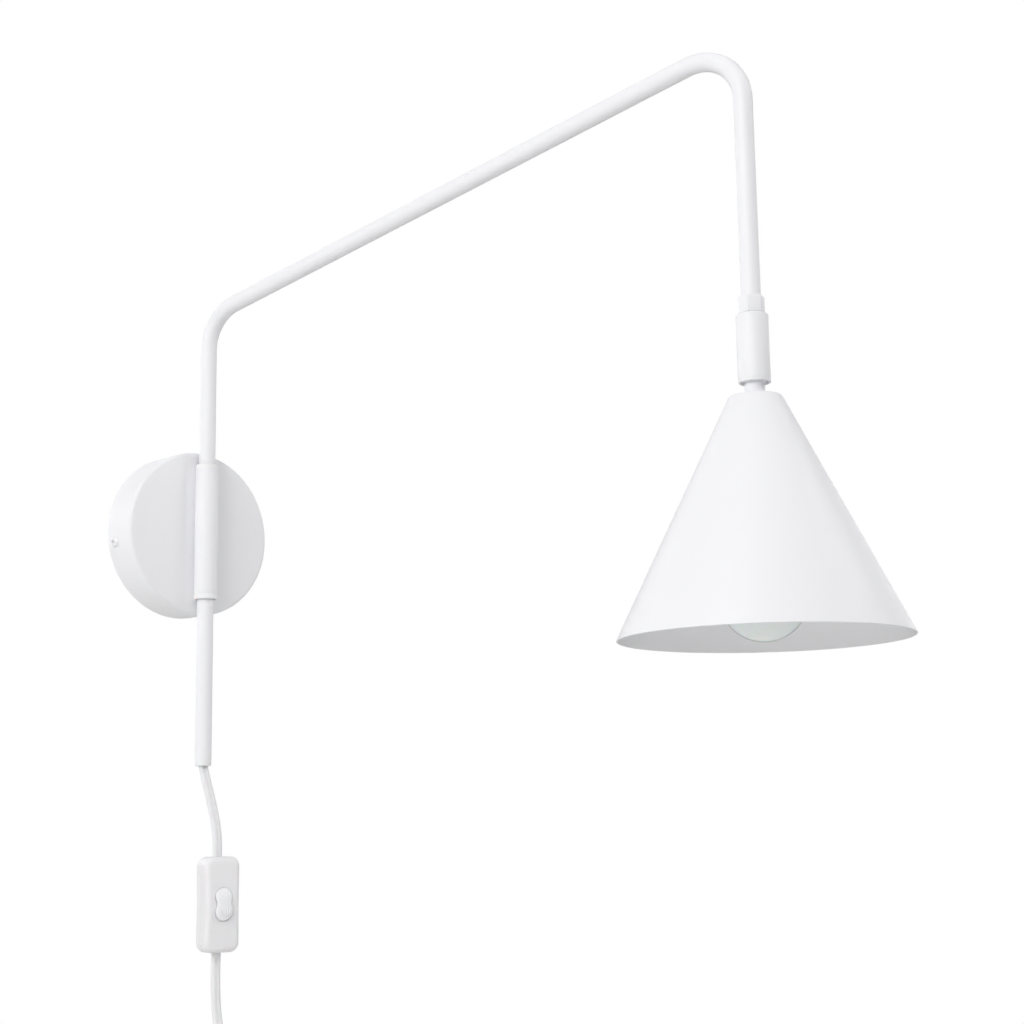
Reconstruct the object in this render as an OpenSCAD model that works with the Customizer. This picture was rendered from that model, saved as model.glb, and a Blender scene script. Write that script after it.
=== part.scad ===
// Swing arm wall sconce: wall canopy, bent swinging arm, ball jointed cone shade,
// bulb in its holder, and a flat twin cord with an inline switch, a tied hank and a plug.
// Origin: centre of the canopy on the wall plane (y = 0). +Z up, -Y out of the wall.

/* [Canopy] */
// Outside diameter of the canopy
canopy_d = 102; // [96:1:116]
// Depth of the canopy from the wall to its face
canopy_depth = 24.4; // [20:0.2:26]
// Sheet thickness of the canopy
canopy_t = 1.2; // [0.8:0.1:1.6]
// Radius of the canopy's front edge
canopy_edge_r = 2.4; // [1.8:0.2:4]
// Height of the canopy's side screws out of the wall
side_screw_out = 8; // [6:0.5:10]

/* [Wall strap] */
// Width of the strap screwed to the wall
strap_w = 18; // [14:1:24]
// Thickness of the strap
strap_t = 1.5; // [1.2:0.1:2]
// Turn of the strap from level, in degrees
strap_turn = 9; // [0:1:15]
// Distance between the two wall screw holes
wall_hole_pitch = 60; // [50:1:64]
// Diameter of a wall screw hole
wall_hole_d = 5; // [4:0.1:6]

/* [Sleeve] */
// Outside diameter of the sleeve that the arm turns in
sleeve_d = 14; // [13.6:0.2:15]
// Length of the sleeve over its two end bushes
sleeve_len = 84.5; // [70:0.5:90]
// Depth of the flat where the sleeve sits on the canopy
sleeve_flat = 0.4; // [0.3:0.1:0.5]
// Visible height of each end bush
bush_flange = 3.5; // [3:0.5:5]

/* [Arm] */
// Outside diameter of the arm tube
arm_d = 10; // [9.6:0.1:10.1]
// Wall thickness of the arm tube
arm_t = 1; // [0.8:0.1:1.2]
// Direction of the arm seen from above, straight out is -90 degrees
arm_azimuth = -80; // [-170:1:-10]
// Horizontal reach from the post to the drop leg
arm_reach = 383; // [300:1:450]
// Height where the post's line meets the sloping arm's line
arm_knee_z = 138.5; // [120:0.5:180]
// Rise of the sloping arm over its reach
arm_rise = 79; // [40:1:120]
// Bend radius on the centre line
bend_r = 27; // [22:1:34]
// Bottom end of the post under the origin
post_bottom = 144; // [120:1:180]
// Height of the cord outlet bush under the tube
outlet_h = 3.4; // [2.5:0.1:5]

/* [Head joint] */
// Height of the hex fitting's top over the origin
hex_top_z = 78.6; // [60:0.2:90]
// Width of the hex fitting across its flats
hex_af = 12; // [11.6:0.2:13]
// Height of the hex fitting
hex_h = 8.6; // [6:0.2:10]
// Turn of the hex fitting against the arm, in degrees
hex_turn = -20; // [-30:1:30]
// Diameter of the joint housing
housing_d = 16.4; // [16.2:0.1:18]
// Length of the joint housing with its socket ring
housing_len = 35.4; // [32:0.2:40]
// Radius of the ball
ball_r = 6.8; // [6.7:0.05:6.8]
// Diameter of the neck under the ball
neck_d = 10.2; // [9.6:0.1:10.4]
// Largest tilt of the shade each way, in degrees
tilt_max = 20; // [10:1:20]

/* [Shade] */
// Diameter of the shade's rim
shade_d = 146; // [130:1:160]
// Height of the shade
shade_h = 121.7; // [115:0.1:130]
// Half angle of the cone, in degrees
shade_angle = 26.2; // [25.5:0.1:27]
// Sheet thickness of the shade
shade_t = 0.9; // [0.7:0.1:1.2]
// Radius of the shade's top shoulder
shoulder_r = 2.5; // [2:0.5:5]
// Length of neck between the housing and the shade
neck_gap = 6.8; // [6:0.2:12]

/* [Bulb and holder] */
// Diameter of the bulb's globe
globe_d = 45; // [40:1:46]
// Length of the bulb from contact to globe
bulb_len = 78; // [74:1:80]
// Distance the globe stands out under the rim
globe_out = 1.5; // [0:0.5:6]
// Outside diameter of the lampholder
holder_d = 27; // [24:1:30]

/* [Switch] */
// Length of the inline switch
switch_l = 56; // [52:1:62]
// Width of the inline switch
switch_w = 22.5; // [21:0.5:26]
// Thickness of the inline switch
switch_t = 17.5; // [17:0.5:20]
// Turn of the switch from the wall's line, in degrees
switch_turn = -11; // [-30:1:30]
// Tilt of the rocker from its middle, in degrees
rocker_tilt = 8; // [5:1:8]

/* [Cord and plug] */
// Width of the flat twin cord
cord_w = 5.8; // [5:0.1:6]
// Thickness of the flat twin cord
cord_t = 3.6; // [3:0.1:4]
// Radius of the hank's outer folds on the cord's centre line
fold_r = 21.5; // [20:0.5:24]
// Half the length of the hank's runs
run_half = 42; // [40:1:50]
// Distance between the plug's pins
pin_pitch = 18.6; // [18:0.1:19.2]
// Diameter of a plug pin
pin_d = 4; // [3.9:0.05:4.1]

/* [Hidden] */
$fn = 96;

eps = 0.05;                       // running and seating clearance
white = "WhiteSmoke";
steel = "Silver";

// canopy and sleeve
canopy_r = canopy_d / 2;
sleeve_r = sleeve_d / 2;
post_y = canopy_depth + sleeve_r - sleeve_flat;
sleeve_half = sleeve_len / 2;
body_half = sleeve_half - bush_flange;
bush_r = 6.1;                     // spigot of an end bush
bush_spigot = 10;
sleeve_bore_r = arm_d / 2 + 0.4;
sleeve_screw_z = 24;
side_screw_r = 1.9;
strap_len_r = canopy_r - canopy_t - 1.1;
strap_ear = 14;                   // height and depth of the strap's ears

// arm
arm_r = arm_d / 2;
bore_r = arm_r - arm_t;
knee2_z = arm_knee_z + arm_rise;
slope = atan(arm_rise / arm_reach);
cut1 = bend_r * tan((90 - slope) / 2);
cut2 = bend_r * tan((90 + slope) / 2);
bend_steps = 8;
wire_r = 2.5;
ring_z = sleeve_half - 1.3;       // inner face of the upper snap ring
snap_ring_r = 5.9;
clamp_z = -48;
clamp_screw_r = 1.5;

// head joint, heights on the drop leg's axis
hex_bottom_z = hex_top_z - hex_h;
washer_t = 0.6;
housing_top_z = hex_bottom_z - washer_t;
mouth_z = housing_top_z - housing_len;
housing_r = housing_d / 2;
ball_z = mouth_z + 4.5;
neck_r = neck_d / 2;
stem_r = 4.5;
socket_r = ball_r + eps;
lip_angle = asin(neck_r / ball_r) + tilt_max + 1;
lip_r = socket_r * sin(lip_angle);
lip_z = ball_z - socket_r * cos(lip_angle);
mouth_r = neck_r / cos(tilt_max) + (ball_z - mouth_z) * tan(tilt_max) + 0.1;
ring_flange = 1.5;
thread_r = 7.2;
chamber_top_z = housing_top_z - 7;

// shade
shade_top_z = mouth_z - neck_gap;
rim_z = shade_top_z - shade_h;
rim_r = shade_d / 2;
top_r = rim_r - shade_h * tan(shade_angle);
stud_thread_r = 4;
stud_end_z = shade_top_z - 14;

// bulb and holder
globe_r = globe_d / 2;
globe_z = rim_z - globe_out + globe_r;
tip_z = globe_z - globe_r + bulb_len;
cap_top_z = tip_z - 2.5;
cap_bottom_z = cap_top_z - 17;
holder_r = holder_d / 2;
holder_top_z = shade_top_z - 7;
holder_split_z = tip_z + 15;
holder_mouth_z = cap_bottom_z - 2;
holder_seat_z = tip_z + 1.4;
holder_wall = 1.8;
shell_r = 8.2;                    // screw shell of the lampholder
cap_r = 6.6;                      // bulb's screw cap at the thread's root
globe_cut = 42;                   // half angle of the globe's opening, in degrees

// switch
switch_pos = [6.6, -37.6, -226];
front_t = switch_t / 2 + 1.6;     // depth of the front half from the cord's axis
back_t = switch_t - front_t;
pivot_y = 4 - front_t;
rocker_face = 6.2;                // rocker's face in front of its pivot
rocker_l = 19;
rocker_w = 10.4;
shell_t = 1.6;
switch_screw_z = 20;

// cord: route points on its centre line, chosen by hand
upper_route = [[0, -31, -138], [0.1, -31.1, -144], [1.4, -32.4, -152], [3.7, -34.7, -165],
    [5.8, -36.8, -179], [6.6, -37.6, -190], [6.6, -37.6, -198]];
lower_route = [[6.6, -37.6, -254], [6.5, -37.5, -266], [6.5, -37.9, -278], [6.7, -39.1, -290],
    [7, -41.1, -299], [7.1, -42.5, -306]];
hank_pos = [3, -35, -369];
hank_t = 18.8;
tail_route = [[24.5, -41.2, -411], [24.4, -41, -424], [23.2, -40, -437], [22, -39, -447]];
plug_top = [22, -39, -447];
grip_len = 24;
plug_len = 33;
plug_neck = 12;                   // length of the plug's narrower part
plug_w = 35;
plug_t = 13.7;
pin_len = 19;

// ---- shared shapes ----

function unit(v) = v / norm(v);
function arc(cx, cy, r, a0, a1, n = 8) =
    [for (i = [0:n]) [cx + r * cos(a0 + (a1 - a0) * i / n), cy + r * sin(a0 + (a1 - a0) * i / n)]];

module at_post() { translate([0, -post_y, 0]) children(); }
module at_drop() { at_post() rotate([0, 0, arm_azimuth]) translate([arm_reach, 0, 0]) children(); }
module at_switch() { translate(switch_pos) rotate([0, 0, switch_turn]) children(); }
module out_of_wall() { rotate([90, 0, 0]) children(); }

// a tube or disc standing on z = low
module ring(r_out, r_in, low, high) {
    translate([0, 0, low]) difference() {
        cylinder(r = r_out, h = high - low);
        if (r_in > 0) translate([0, 0, -1]) cylinder(r = r_in, h = high - low + 2);
    }
}

// the arm's centre line: [x, z, heading], from the post's foot over both bends to the drop's end
function arm_line(foot_z, drop_z) = concat([[0, foot_z, 90]],
    [for (i = [0:bend_steps]) let (a = 180 - (90 - slope) * i / bend_steps)
        [bend_r + bend_r * cos(a), arm_knee_z - cut1 + bend_r * sin(a), a - 90]],
    [for (i = [0:bend_steps]) let (a = (90 + slope) * (1 - i / bend_steps))
        [arm_reach - bend_r + bend_r * cos(a), knee2_z - cut2 + bend_r * sin(a), a - 90]],
    [[arm_reach, drop_z, -90]]);

// one ring of points round each station of a line
function line_rings(line, r, sides) = [for (p = line, k = [0:sides - 1])
    let (c = r * cos(360 * k / sides), s = r * sin(360 * k / sides))
    [p[0] - s * sin(p[2]), c, p[1] + s * cos(p[2])]];

// faces between neighbouring rings, from point number first
function wall_faces(rings, sides, first) = [for (i = [0:rings - 2], k = [0:sides - 1])
    let (a = first + i * sides + k, b = first + i * sides + (k + 1) % sides)
    [a, b, b + sides, a + sides]];

// a bent tube along a line
module bent_tube(line, r_out, r_in, sides) {
    n = len(line);
    half = n * sides;
    last = (n - 1) * sides;
    polyhedron(points = concat(line_rings(line, r_out, sides), line_rings(line, r_in, sides)),
        convexity = 8, faces = concat(
            wall_faces(n, sides, 0),
            [for (f = wall_faces(n, sides, half)) [f[3], f[2], f[1], f[0]]],
            [for (k = [0:sides - 1]) let (j = (k + 1) % sides) [j, k, half + k, half + j]],
            [for (k = [0:sides - 1]) let (j = (k + 1) % sides)
                [last + k, last + j, half + last + j, half + last + k]]));
}

// a bent rod along a line
module bent_rod(line, r, sides) {
    n = len(line);
    polyhedron(points = line_rings(line, r, sides), convexity = 8, faces = concat(
        wall_faces(n, sides, 0), [[for (k = [sides - 1:-1:0]) k]],
        [[for (k = [0:sides - 1]) (n - 1) * sides + k]]));
}

// a flat cord swept along its route, upright at both ends
module swept_cord(route, turn) {
    sides = 10;
    n = len(route);
    wide = [cos(turn), sin(turn), 0];
    rings = [for (i = [0:n - 1])
        let (t = (i == 0 || i == n - 1) ? [0, 0, -1] : unit(route[i + 1] - route[i - 1]),
             s = unit(wide - (wide * t) * t), f = cross(t, s))
        for (k = [0:sides - 1])
            route[i] + cord_w / 2 * cos(360 * k / sides) * s + cord_t / 2 * sin(360 * k / sides) * f];
    walls = [for (i = [0:n - 2], k = [0:sides - 1])
        let (a = i * sides + k, b = i * sides + (k + 1) % sides)
        [a, b, b + sides, a + sides]];
    polyhedron(points = rings, convexity = 4,
        faces = concat([[for (k = [sides - 1:-1:0]) k]], walls,
                       [[for (k = [0:sides - 1]) (n - 1) * sides + k]]));
}

// a rectangle with round corners, exact arcs
module round_rect(w, h, r) {
    square([w - 2 * r, h], center = true);
    square([w, h - 2 * r], center = true);
    for (x = [-1, 1], y = [-1, 1]) translate([x * (w / 2 - r), y * (h / 2 - r)]) circle(r = r);
}

// a screw along +Z: domed head under z = 0, shank above it
module dome_screw(head_d, head_h, shank_r, shank_l) {
    cap_r = (head_d * head_d / 4 + head_h * head_h) / (2 * head_h);
    difference() {
        intersection() {
            translate([0, 0, cap_r - head_h]) sphere(r = cap_r);
            translate([0, 0, -head_h]) cylinder(d = head_d, h = head_h);
        }
        translate([0, 0, -head_h]) cube([head_d * 0.62, 0.8, head_h], center = true);
        translate([0, 0, -head_h]) cube([0.8, head_d * 0.62, head_h], center = true);
    }
    cylinder(r = shank_r, h = shank_l);
}

// ---- wall body ----

module wall_strap() {
    color(steel) rotate([0, -strap_turn, 0]) difference() {
        union() {
            translate([-strap_len_r, -strap_t, -strap_w / 2])
                cube([2 * strap_len_r, strap_t, strap_w]);
            for (s = [-1, 1])
                translate([s * (strap_len_r - strap_t / 2) - strap_t / 2, -strap_ear, -strap_ear / 2])
                    cube([strap_t, strap_ear, strap_ear]);
        }
        for (s = [-1, 1]) translate([s * wall_hole_pitch / 2, 1, 0]) out_of_wall()
            cylinder(d = wall_hole_d, h = strap_t + 2);
        translate([-canopy_r, -side_screw_out, 0]) rotate([0, 90, 0])
            cylinder(r = side_screw_r + 0.1, h = canopy_d);
    }
}

module canopy_cup() {
    inner_edge = canopy_edge_r - canopy_t;
    color(white) difference() {
        out_of_wall() rotate_extrude() polygon(concat(
            [[canopy_r - canopy_t, 0], [canopy_r, 0]],
            arc(canopy_r - canopy_edge_r, canopy_depth - canopy_edge_r, canopy_edge_r, 0, 90),
            [[0, canopy_depth], [0, canopy_depth - canopy_t]],
            arc(canopy_r - canopy_edge_r, canopy_depth - canopy_edge_r, inner_edge, 90, 0)));
        for (z = [-1, 1]) translate([0, -canopy_depth + 3, z * sleeve_screw_z]) out_of_wall()
            cylinder(r = 1.6, h = 5);
        rotate([0, -strap_turn, 0]) translate([-canopy_r - 1, -side_screw_out, 0]) rotate([0, 90, 0])
            cylinder(r = side_screw_r + 0.2, h = canopy_d + 2);
    }
}

module canopy_screws() {
    color(white) rotate([0, -strap_turn, 0]) for (s = [0, 180]) rotate([0, s, 0])
        translate([-canopy_r, -side_screw_out, 0]) rotate([0, 90, 0])
            dome_screw(6.8, 2.2, side_screw_r, 8);
}

module sleeve_tube() {
    color(white) at_post() difference() {
        ring(sleeve_r, sleeve_bore_r, -body_half, body_half);
        for (s = [0, 180]) rotate([s, 0, 0]) translate([0, 0, body_half - bush_spigot])
            cylinder(r = bush_r, h = bush_spigot + 1);
        translate([-10, sleeve_r - sleeve_flat, -sleeve_len]) cube([20, 5, 2 * sleeve_len]);
        for (z = [-1, 1]) translate([0, sleeve_r + 1, z * sleeve_screw_z]) out_of_wall()
            cylinder(r = 1.4, h = 5);
    }
}

module sleeve_screws() {
    color(steel) for (z = [-1, 1])
        translate([0, -canopy_depth + canopy_t, z * sleeve_screw_z]) out_of_wall()
            dome_screw(5.6, 1.6, 1.35, canopy_t + sleeve_r - sleeve_flat - arm_r - 0.5);
}

// an end bush: flange at the top, spigot in the sleeve, recess for a snap ring
module end_bush() {
    difference() {
        union() {
            ring(sleeve_r, 0, body_half, sleeve_half - 0.6);
            translate([0, 0, sleeve_half - 0.6])
                cylinder(r1 = sleeve_r, r2 = sleeve_r - 0.6, h = 0.6);
            ring(bush_r - 0.02, 0, body_half - bush_spigot + 0.1, body_half);
        }
        cylinder(r = arm_r + eps, h = sleeve_len);
        translate([0, 0, ring_z - eps]) cylinder(r = snap_ring_r + 0.1, h = bush_flange);
        translate([-10, sleeve_r - sleeve_flat, 0]) cube([20, 5, sleeve_len]);
    }
}

module upper_bush() { color("White") at_post() end_bush(); }
module lower_bush() { color("White") at_post() mirror([0, 0, 1]) end_bush(); }

// ---- arm body ----

module arm_tube() {
    color(white) at_post() rotate([0, 0, arm_azimuth]) difference() {
        bent_tube(arm_line(-post_bottom + outlet_h, hex_top_z), arm_r, bore_r, 28);
        translate([0, 0, clamp_z]) rotate([0, 90, 0]) cylinder(r = clamp_screw_r, h = arm_d);
    }
}

module snap_rings() {
    color(steel) at_post() for (s = [0, 180]) rotate([s, 0, 0]) difference() {
        ring(snap_ring_r, arm_r, ring_z, ring_z + 0.95);
        translate([-1.2, -8, ring_z - 1]) cube([2.4, 8, 3]);
    }
}

module cord_clamp() {
    color("White") at_post() ring(bore_r - 0.05, wire_r + 0.02, clamp_z - 7, clamp_z + 7);
}

module clamp_screw() {
    color(white) at_post() rotate([0, 0, arm_azimuth]) translate([bore_r, 0, clamp_z])
        rotate([0, 90, 0]) difference() {
            cylinder(r = clamp_screw_r - eps, h = arm_t - 0.1);
            translate([0, 0, 0.4]) cylinder(r = clamp_screw_r / 2, h = arm_t, $fn = 6);
        }
}

module arm_wire() {
    color("Gainsboro") at_post() rotate([0, 0, arm_azimuth])
        bent_rod(arm_line(upper_route[0][2], hex_top_z + 12), wire_r, 12);
}

module outlet_bush() {
    color("White") at_post() difference() {
        union() {
            ring(arm_r - 0.05, 0, -post_bottom, -post_bottom + outlet_h);
            ring(bore_r - 0.02, 0, -post_bottom + outlet_h, -post_bottom + outlet_h + 8);
        }
        translate([0, 0, -post_bottom - 1]) cylinder(r = 3.1, h = 20);
    }
}

module hex_fitting() {
    color(white) at_drop() difference() {
        union() {
            rotate([0, 0, hex_turn]) translate([0, 0, hex_bottom_z])
                cylinder(d = hex_af / cos(30), h = hex_h, $fn = 6);
            ring(bore_r - 0.05, 0, hex_bottom_z + 1, hex_top_z + 11);
            ring(stem_r, 0, chamber_top_z - 3, hex_bottom_z + 1);
        }
        translate([0, 0, chamber_top_z - 4]) cylinder(r = wire_r + 0.4, h = 60);
        ring(stem_r + 1, stem_r - 0.6, chamber_top_z - 1.3, chamber_top_z - 0.2);
    }
}

module stem_ring() {
    color(steel) at_drop() difference() {
        ring(6.2, stem_r - 0.55, chamber_top_z - 1.2, chamber_top_z - 0.3);
        translate([-1.2, 0, chamber_top_z - 2]) cube([2.4, 8, 3]);
    }
}

// ---- head body ----

module turn_washer() {
    color("White") at_drop() ring(5.8, stem_r + 0.1, housing_top_z, hex_bottom_z - eps);
}

module joint_housing() {
    seat_r = 6.9;
    low = mouth_z + ring_flange;
    color(white) at_drop() difference() {
        rotate_extrude() polygon([[0, low], [housing_r, low], [housing_r, housing_top_z - 1],
            [housing_r - 1, housing_top_z], [0, housing_top_z]]);
        translate([0, 0, low - 1]) cylinder(r = seat_r, h = chamber_top_z - low + 1);
        translate([0, 0, low - 1]) cylinder(r = thread_r, h = 4);
        translate([0, 0, chamber_top_z - 1]) cylinder(r = stem_r + eps, h = 20);
    }
}

module disc_springs() {
    seat_top = ball_z + 8;
    color(steel) at_drop() rotate_extrude() for (i = [0:2])
        translate([0, seat_top + 0.1 + i * 1.35]) polygon([[4, 0.7], [6.7, 0], [6.7, 0.5], [4, 1.2]]);
}

module ball_seat() {
    color("White") at_drop() difference() {
        ring(6.85, 3.4, ball_z + 2, ball_z + 8);
        translate([0, 0, ball_z]) sphere(r = socket_r);
    }
}

module socket_ring() {
    color(white) at_drop() rotate_extrude() polygon(concat(
        [[mouth_r, mouth_z], [housing_r - 0.8, mouth_z], [housing_r, mouth_z + 0.8],
         [housing_r, mouth_z + ring_flange], [thread_r - 0.02, mouth_z + ring_flange],
         [thread_r - 0.02, ball_z - 0.6]],
        [for (a = [85:-5:lip_angle]) [socket_r * sin(a), ball_z - socket_r * cos(a)]],
        [[lip_r, lip_z]]));
}

// ---- shade body ----

module ball_stud() {
    color(white) at_drop() difference() {
        union() {
            translate([0, 0, ball_z]) sphere(r = ball_r);
            ring(neck_r, 0, shade_top_z, ball_z);
            ring(stud_thread_r, 0, stud_end_z, shade_top_z);
        }
        translate([0, 0, stud_end_z - 1]) cylinder(r = 2.8, h = 60);
    }
}

module shade_cone() {
    // tangent points of the shoulder arc between the flat top and the cone
    lean = 90 - shade_angle;
    back = shoulder_r * tan(lean / 2);
    cx = top_r - back;
    slant_in = shade_t / cos(shade_angle);
    color(white) at_drop() difference() {
        rotate_extrude() polygon(concat(
            [[0, shade_top_z]],
            arc(cx, shade_top_z - shoulder_r, shoulder_r, 90, shade_angle),
            [[rim_r, rim_z], [rim_r - slant_in, rim_z]],
            arc(cx, shade_top_z - shoulder_r, shoulder_r - shade_t, shade_angle, 90),
            [[0, shade_top_z - shade_t]]));
        translate([0, 0, shade_top_z - 5]) cylinder(r = stud_thread_r + 0.1, h = 10);
    }
}

module shade_washer() {
    top = shade_top_z - shade_t;
    color(steel) at_drop() ring(8, stud_thread_r + 0.1, top - 1, top);
}

module lock_nut() {
    top = shade_top_z - shade_t - 1;
    color(steel) at_drop() difference() {
        translate([0, 0, top - 4]) cylinder(d = 13, h = 4, $fn = 6);
        translate([0, 0, top - 5]) cylinder(r = stud_thread_r + 0.05, h = 6);
    }
}

module holder_cap() {
    crown_r = 7;
    crown_h = 8;
    dome_z = holder_top_z - 15;
    color("White") at_drop() difference() {
        rotate_extrude() polygon([[0, holder_top_z], [crown_r, holder_top_z], [holder_r - 1, dome_z + 3],
            [holder_r, dome_z], [holder_r, holder_split_z], [holder_r - holder_wall, holder_split_z],
            [holder_r - holder_wall, dome_z], [crown_r - 1, holder_top_z - crown_h],
            [0, holder_top_z - crown_h]]);
        translate([0, 0, dome_z]) cylinder(r = stud_thread_r + eps, h = 2 * crown_h + 15);
    }
}

module holder_base() {
    terminal_x = 6.5;
    terminal_r = 1.6;
    color("Ivory") at_drop() difference() {
        ring(holder_r - holder_wall - 0.2, 2.2, holder_seat_z, holder_seat_z + 6.6);
        for (s = [-1, 1]) translate([s * terminal_x, 0, tip_z]) cylinder(r = terminal_r, h = 20);
    }
}

module holder_body() {
    color("White") at_drop() difference() {
        ring(holder_r, shell_r + 0.1, holder_mouth_z, holder_split_z);
        translate([0, 0, holder_seat_z]) cylinder(r = holder_r - holder_wall - 0.1, h = 30);
    }
}

module holder_shell() {
    color("Goldenrod") at_drop() ring(shell_r, shell_r - 0.5, cap_bottom_z + 2, cap_top_z + 1);
}

module holder_contact() {
    strip_t = 0.5;
    strip_w = 5;
    foot_x = 6;
    color("Goldenrod") at_drop() {
        translate([-2, -strip_w / 2, tip_z + 0.1]) cube([foot_x + 3, strip_w, strip_t]);
        translate([foot_x, -strip_w / 2, tip_z + 0.1 + strip_t]) cube([1, strip_w, 0.8]);
    }
}

module bulb_globe() {
    glass = 1;
    neck = globe_r * sin(globe_cut);
    color("White") at_drop() translate([0, 0, globe_z]) rotate_extrude() polygon(concat(
        arc(0, 0, globe_r, -90, 90 - globe_cut, 36),
        [[neck - glass, globe_r * cos(globe_cut)]],
        arc(0, 0, globe_r - glass, 88 - globe_cut, -90, 36)));
}

module bulb_collar() {
    low = globe_z + globe_r * cos(globe_cut) + eps;
    wide = globe_r * sin(globe_cut);
    shoulder_z = holder_mouth_z - 0.6;
    neck = cap_r + 0.8;
    color("White") at_drop() rotate_extrude() polygon([[wide - 2.2, low], [wide, low],
        [wide - 0.6, low + 3], [neck + 1.6, shoulder_z], [neck, shoulder_z],
        [neck, cap_bottom_z - eps], [neck - 2, cap_bottom_z - eps]]);
}

module bulb_cap() {
    thread_pitch = 2.8;
    first_turn = 5.2;
    color(steel) at_drop() difference() {
        union() {
            ring(cap_r, 0, cap_bottom_z, cap_top_z);
            for (i = [0:3]) translate([0, 0, cap_bottom_z + first_turn + i * thread_pitch])
                rotate_extrude() translate([cap_r - 0.3, 0]) circle(r = 0.8, $fn = 24);
        }
        translate([0, 0, cap_bottom_z - 1]) cylinder(r = cap_r - 0.8, h = cap_top_z - cap_bottom_z + 0.4);
        translate([0, 0, cap_bottom_z]) cylinder(r = 4.5, h = 30);
    }
}

module bulb_insulator() {
    color("DimGray") at_drop() rotate_extrude() polygon([[2.3, cap_top_z + 0.05], [5.4, cap_top_z + 0.05],
        [3, tip_z - 0.9], [2.3, tip_z - 0.9]]);
}

module bulb_tip() {
    color(steel) at_drop() {
        ring(2.2, 0, cap_top_z - 1, tip_z - 0.6);
        translate([0, 0, tip_z - 0.6]) cylinder(r1 = 2.2, r2 = 1.4, h = 0.6);
    }
}

// ---- inline switch ----

// a half shell: outline w by l, from the split plane out to depth h
module switch_half(h) {
    difference() {
        union() {
            linear_extrude(height = h - 1.5) round_rect(switch_w, switch_l, 4.8);
            translate([0, 0, h - 1.5]) linear_extrude(height = 1.5)
                round_rect(switch_w - 1.6, switch_l - 1.6, 4);
        }
        translate([0, 0, -1]) linear_extrude(height = h - shell_t + 1)
            round_rect(switch_w - 2 * shell_t, switch_l - 2 * shell_t - 3, 3.4);
        translate([-cord_w / 2 - 0.2, -switch_l, -1])
            cube([cord_w + 0.4, 2 * switch_l, 1 + cord_t / 2 + 0.1]);
    }
}

module switch_front() {
    color("White") at_switch() difference() {
        union() {
            out_of_wall() switch_half(front_t);
            for (s = [-1, 1]) translate([s * (rocker_w / 2 + 1.4) - 0.9, 1 - front_t, -4])
                cube([1.8, 6, 8]);   // cheeks that hold the rocker's pin
        }
        out_of_wall() linear_extrude(height = 20)
            round_rect(rocker_w + 0.6, rocker_l + 1.6, rocker_w / 2 + 0.2);
        translate([-switch_w / 2 + 2, pivot_y, 0]) rotate([0, 90, 0])
            cylinder(r = 1.02, h = switch_w - 4);
    }
}

module switch_back() {
    color("White") at_switch() difference() {
        union() {
            rotate([0, 0, 180]) out_of_wall() switch_half(back_t);
            for (s = [-1, 1]) translate([0, 0.1 + cord_t / 2, s * switch_screw_z]) rotate([-90, 0, 0])
                cylinder(r = 3.2, h = back_t - 0.9 - cord_t / 2);
        }
        for (s = [-1, 1]) translate([0, -1, s * switch_screw_z]) rotate([-90, 0, 0])
            cylinder(r = 1.6, h = 20);
        for (s = [-1, 1]) translate([0, back_t - 1.8, s * switch_screw_z]) rotate([-90, 0, 0])
            cylinder(r = 3, h = 5);
    }
}

module switch_screws() {
    color(steel) at_switch() for (s = [-1, 1])
        translate([0, back_t - 1.8 + eps, s * switch_screw_z]) rotate([90, 0, 0])
            dome_screw(5.4, 1.6, 1.4, 3.3);
}

module switch_terminals() {
    color("Goldenrod") at_switch() for (s = [-1, 1]) {
        translate([-3, 1.2, s * 11 - 3.5]) cube([6, back_t - shell_t - 1.3, 7]);
        translate([-1.5, 0.4, s * 5 - 3]) cube([3, 0.8, 6]);
    }
}

module rocker_pin() {
    color(steel) at_switch() translate([-rocker_w / 2 - 2.2, pivot_y, 0]) rotate([0, 90, 0])
        cylinder(r = 1, h = rocker_w + 4.4);
}

module switch_rocker() {
    waist = 8.2;
    lobe = rocker_w / 2;
    bulge = (rocker_l / 2 - lobe);
    color("White") at_switch() translate([0, pivot_y, 0]) rotate([-rocker_tilt, 0, 0]) difference() {
        union() {
            for (s = [-1, 1]) translate([0, -rocker_face, s * bulge]) rotate([-90, 0, 0])
                cylinder(r = lobe, h = 5.6);
            translate([-waist / 2, -rocker_face, -bulge]) cube([waist, 5.6, 2 * bulge]);
            translate([-3.4, -2, -2.2]) cube([6.8, 4.2, 4.4]);
        }
        translate([-8, 0, 0]) rotate([0, 90, 0]) cylinder(r = 1.06, h = 16);
    }
}

module rocker_bridge() {
    color("Goldenrod") at_switch() translate([0, pivot_y, 0]) rotate([-rocker_tilt, 0, 0])
        translate([-2.5, 2.25, -2]) cube([5, 0.6, 4]);
}

// ---- cord, hank and plug ----

// half width of the hank at a height from its middle
function hank_half(z) = let (wide = fold_r + cord_t / 2 + 0.3)
    8.4 + (wide - 8.4) * (1 - cos(180 * abs(z) / run_half)) / 2;

module cord_upper() { color("WhiteSmoke") swept_cord(upper_route, switch_turn); }
module cord_lower() { color("WhiteSmoke") swept_cord(lower_route, switch_turn); }
module cord_tail() { color("WhiteSmoke") swept_cord(tail_route, 90); }

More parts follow.
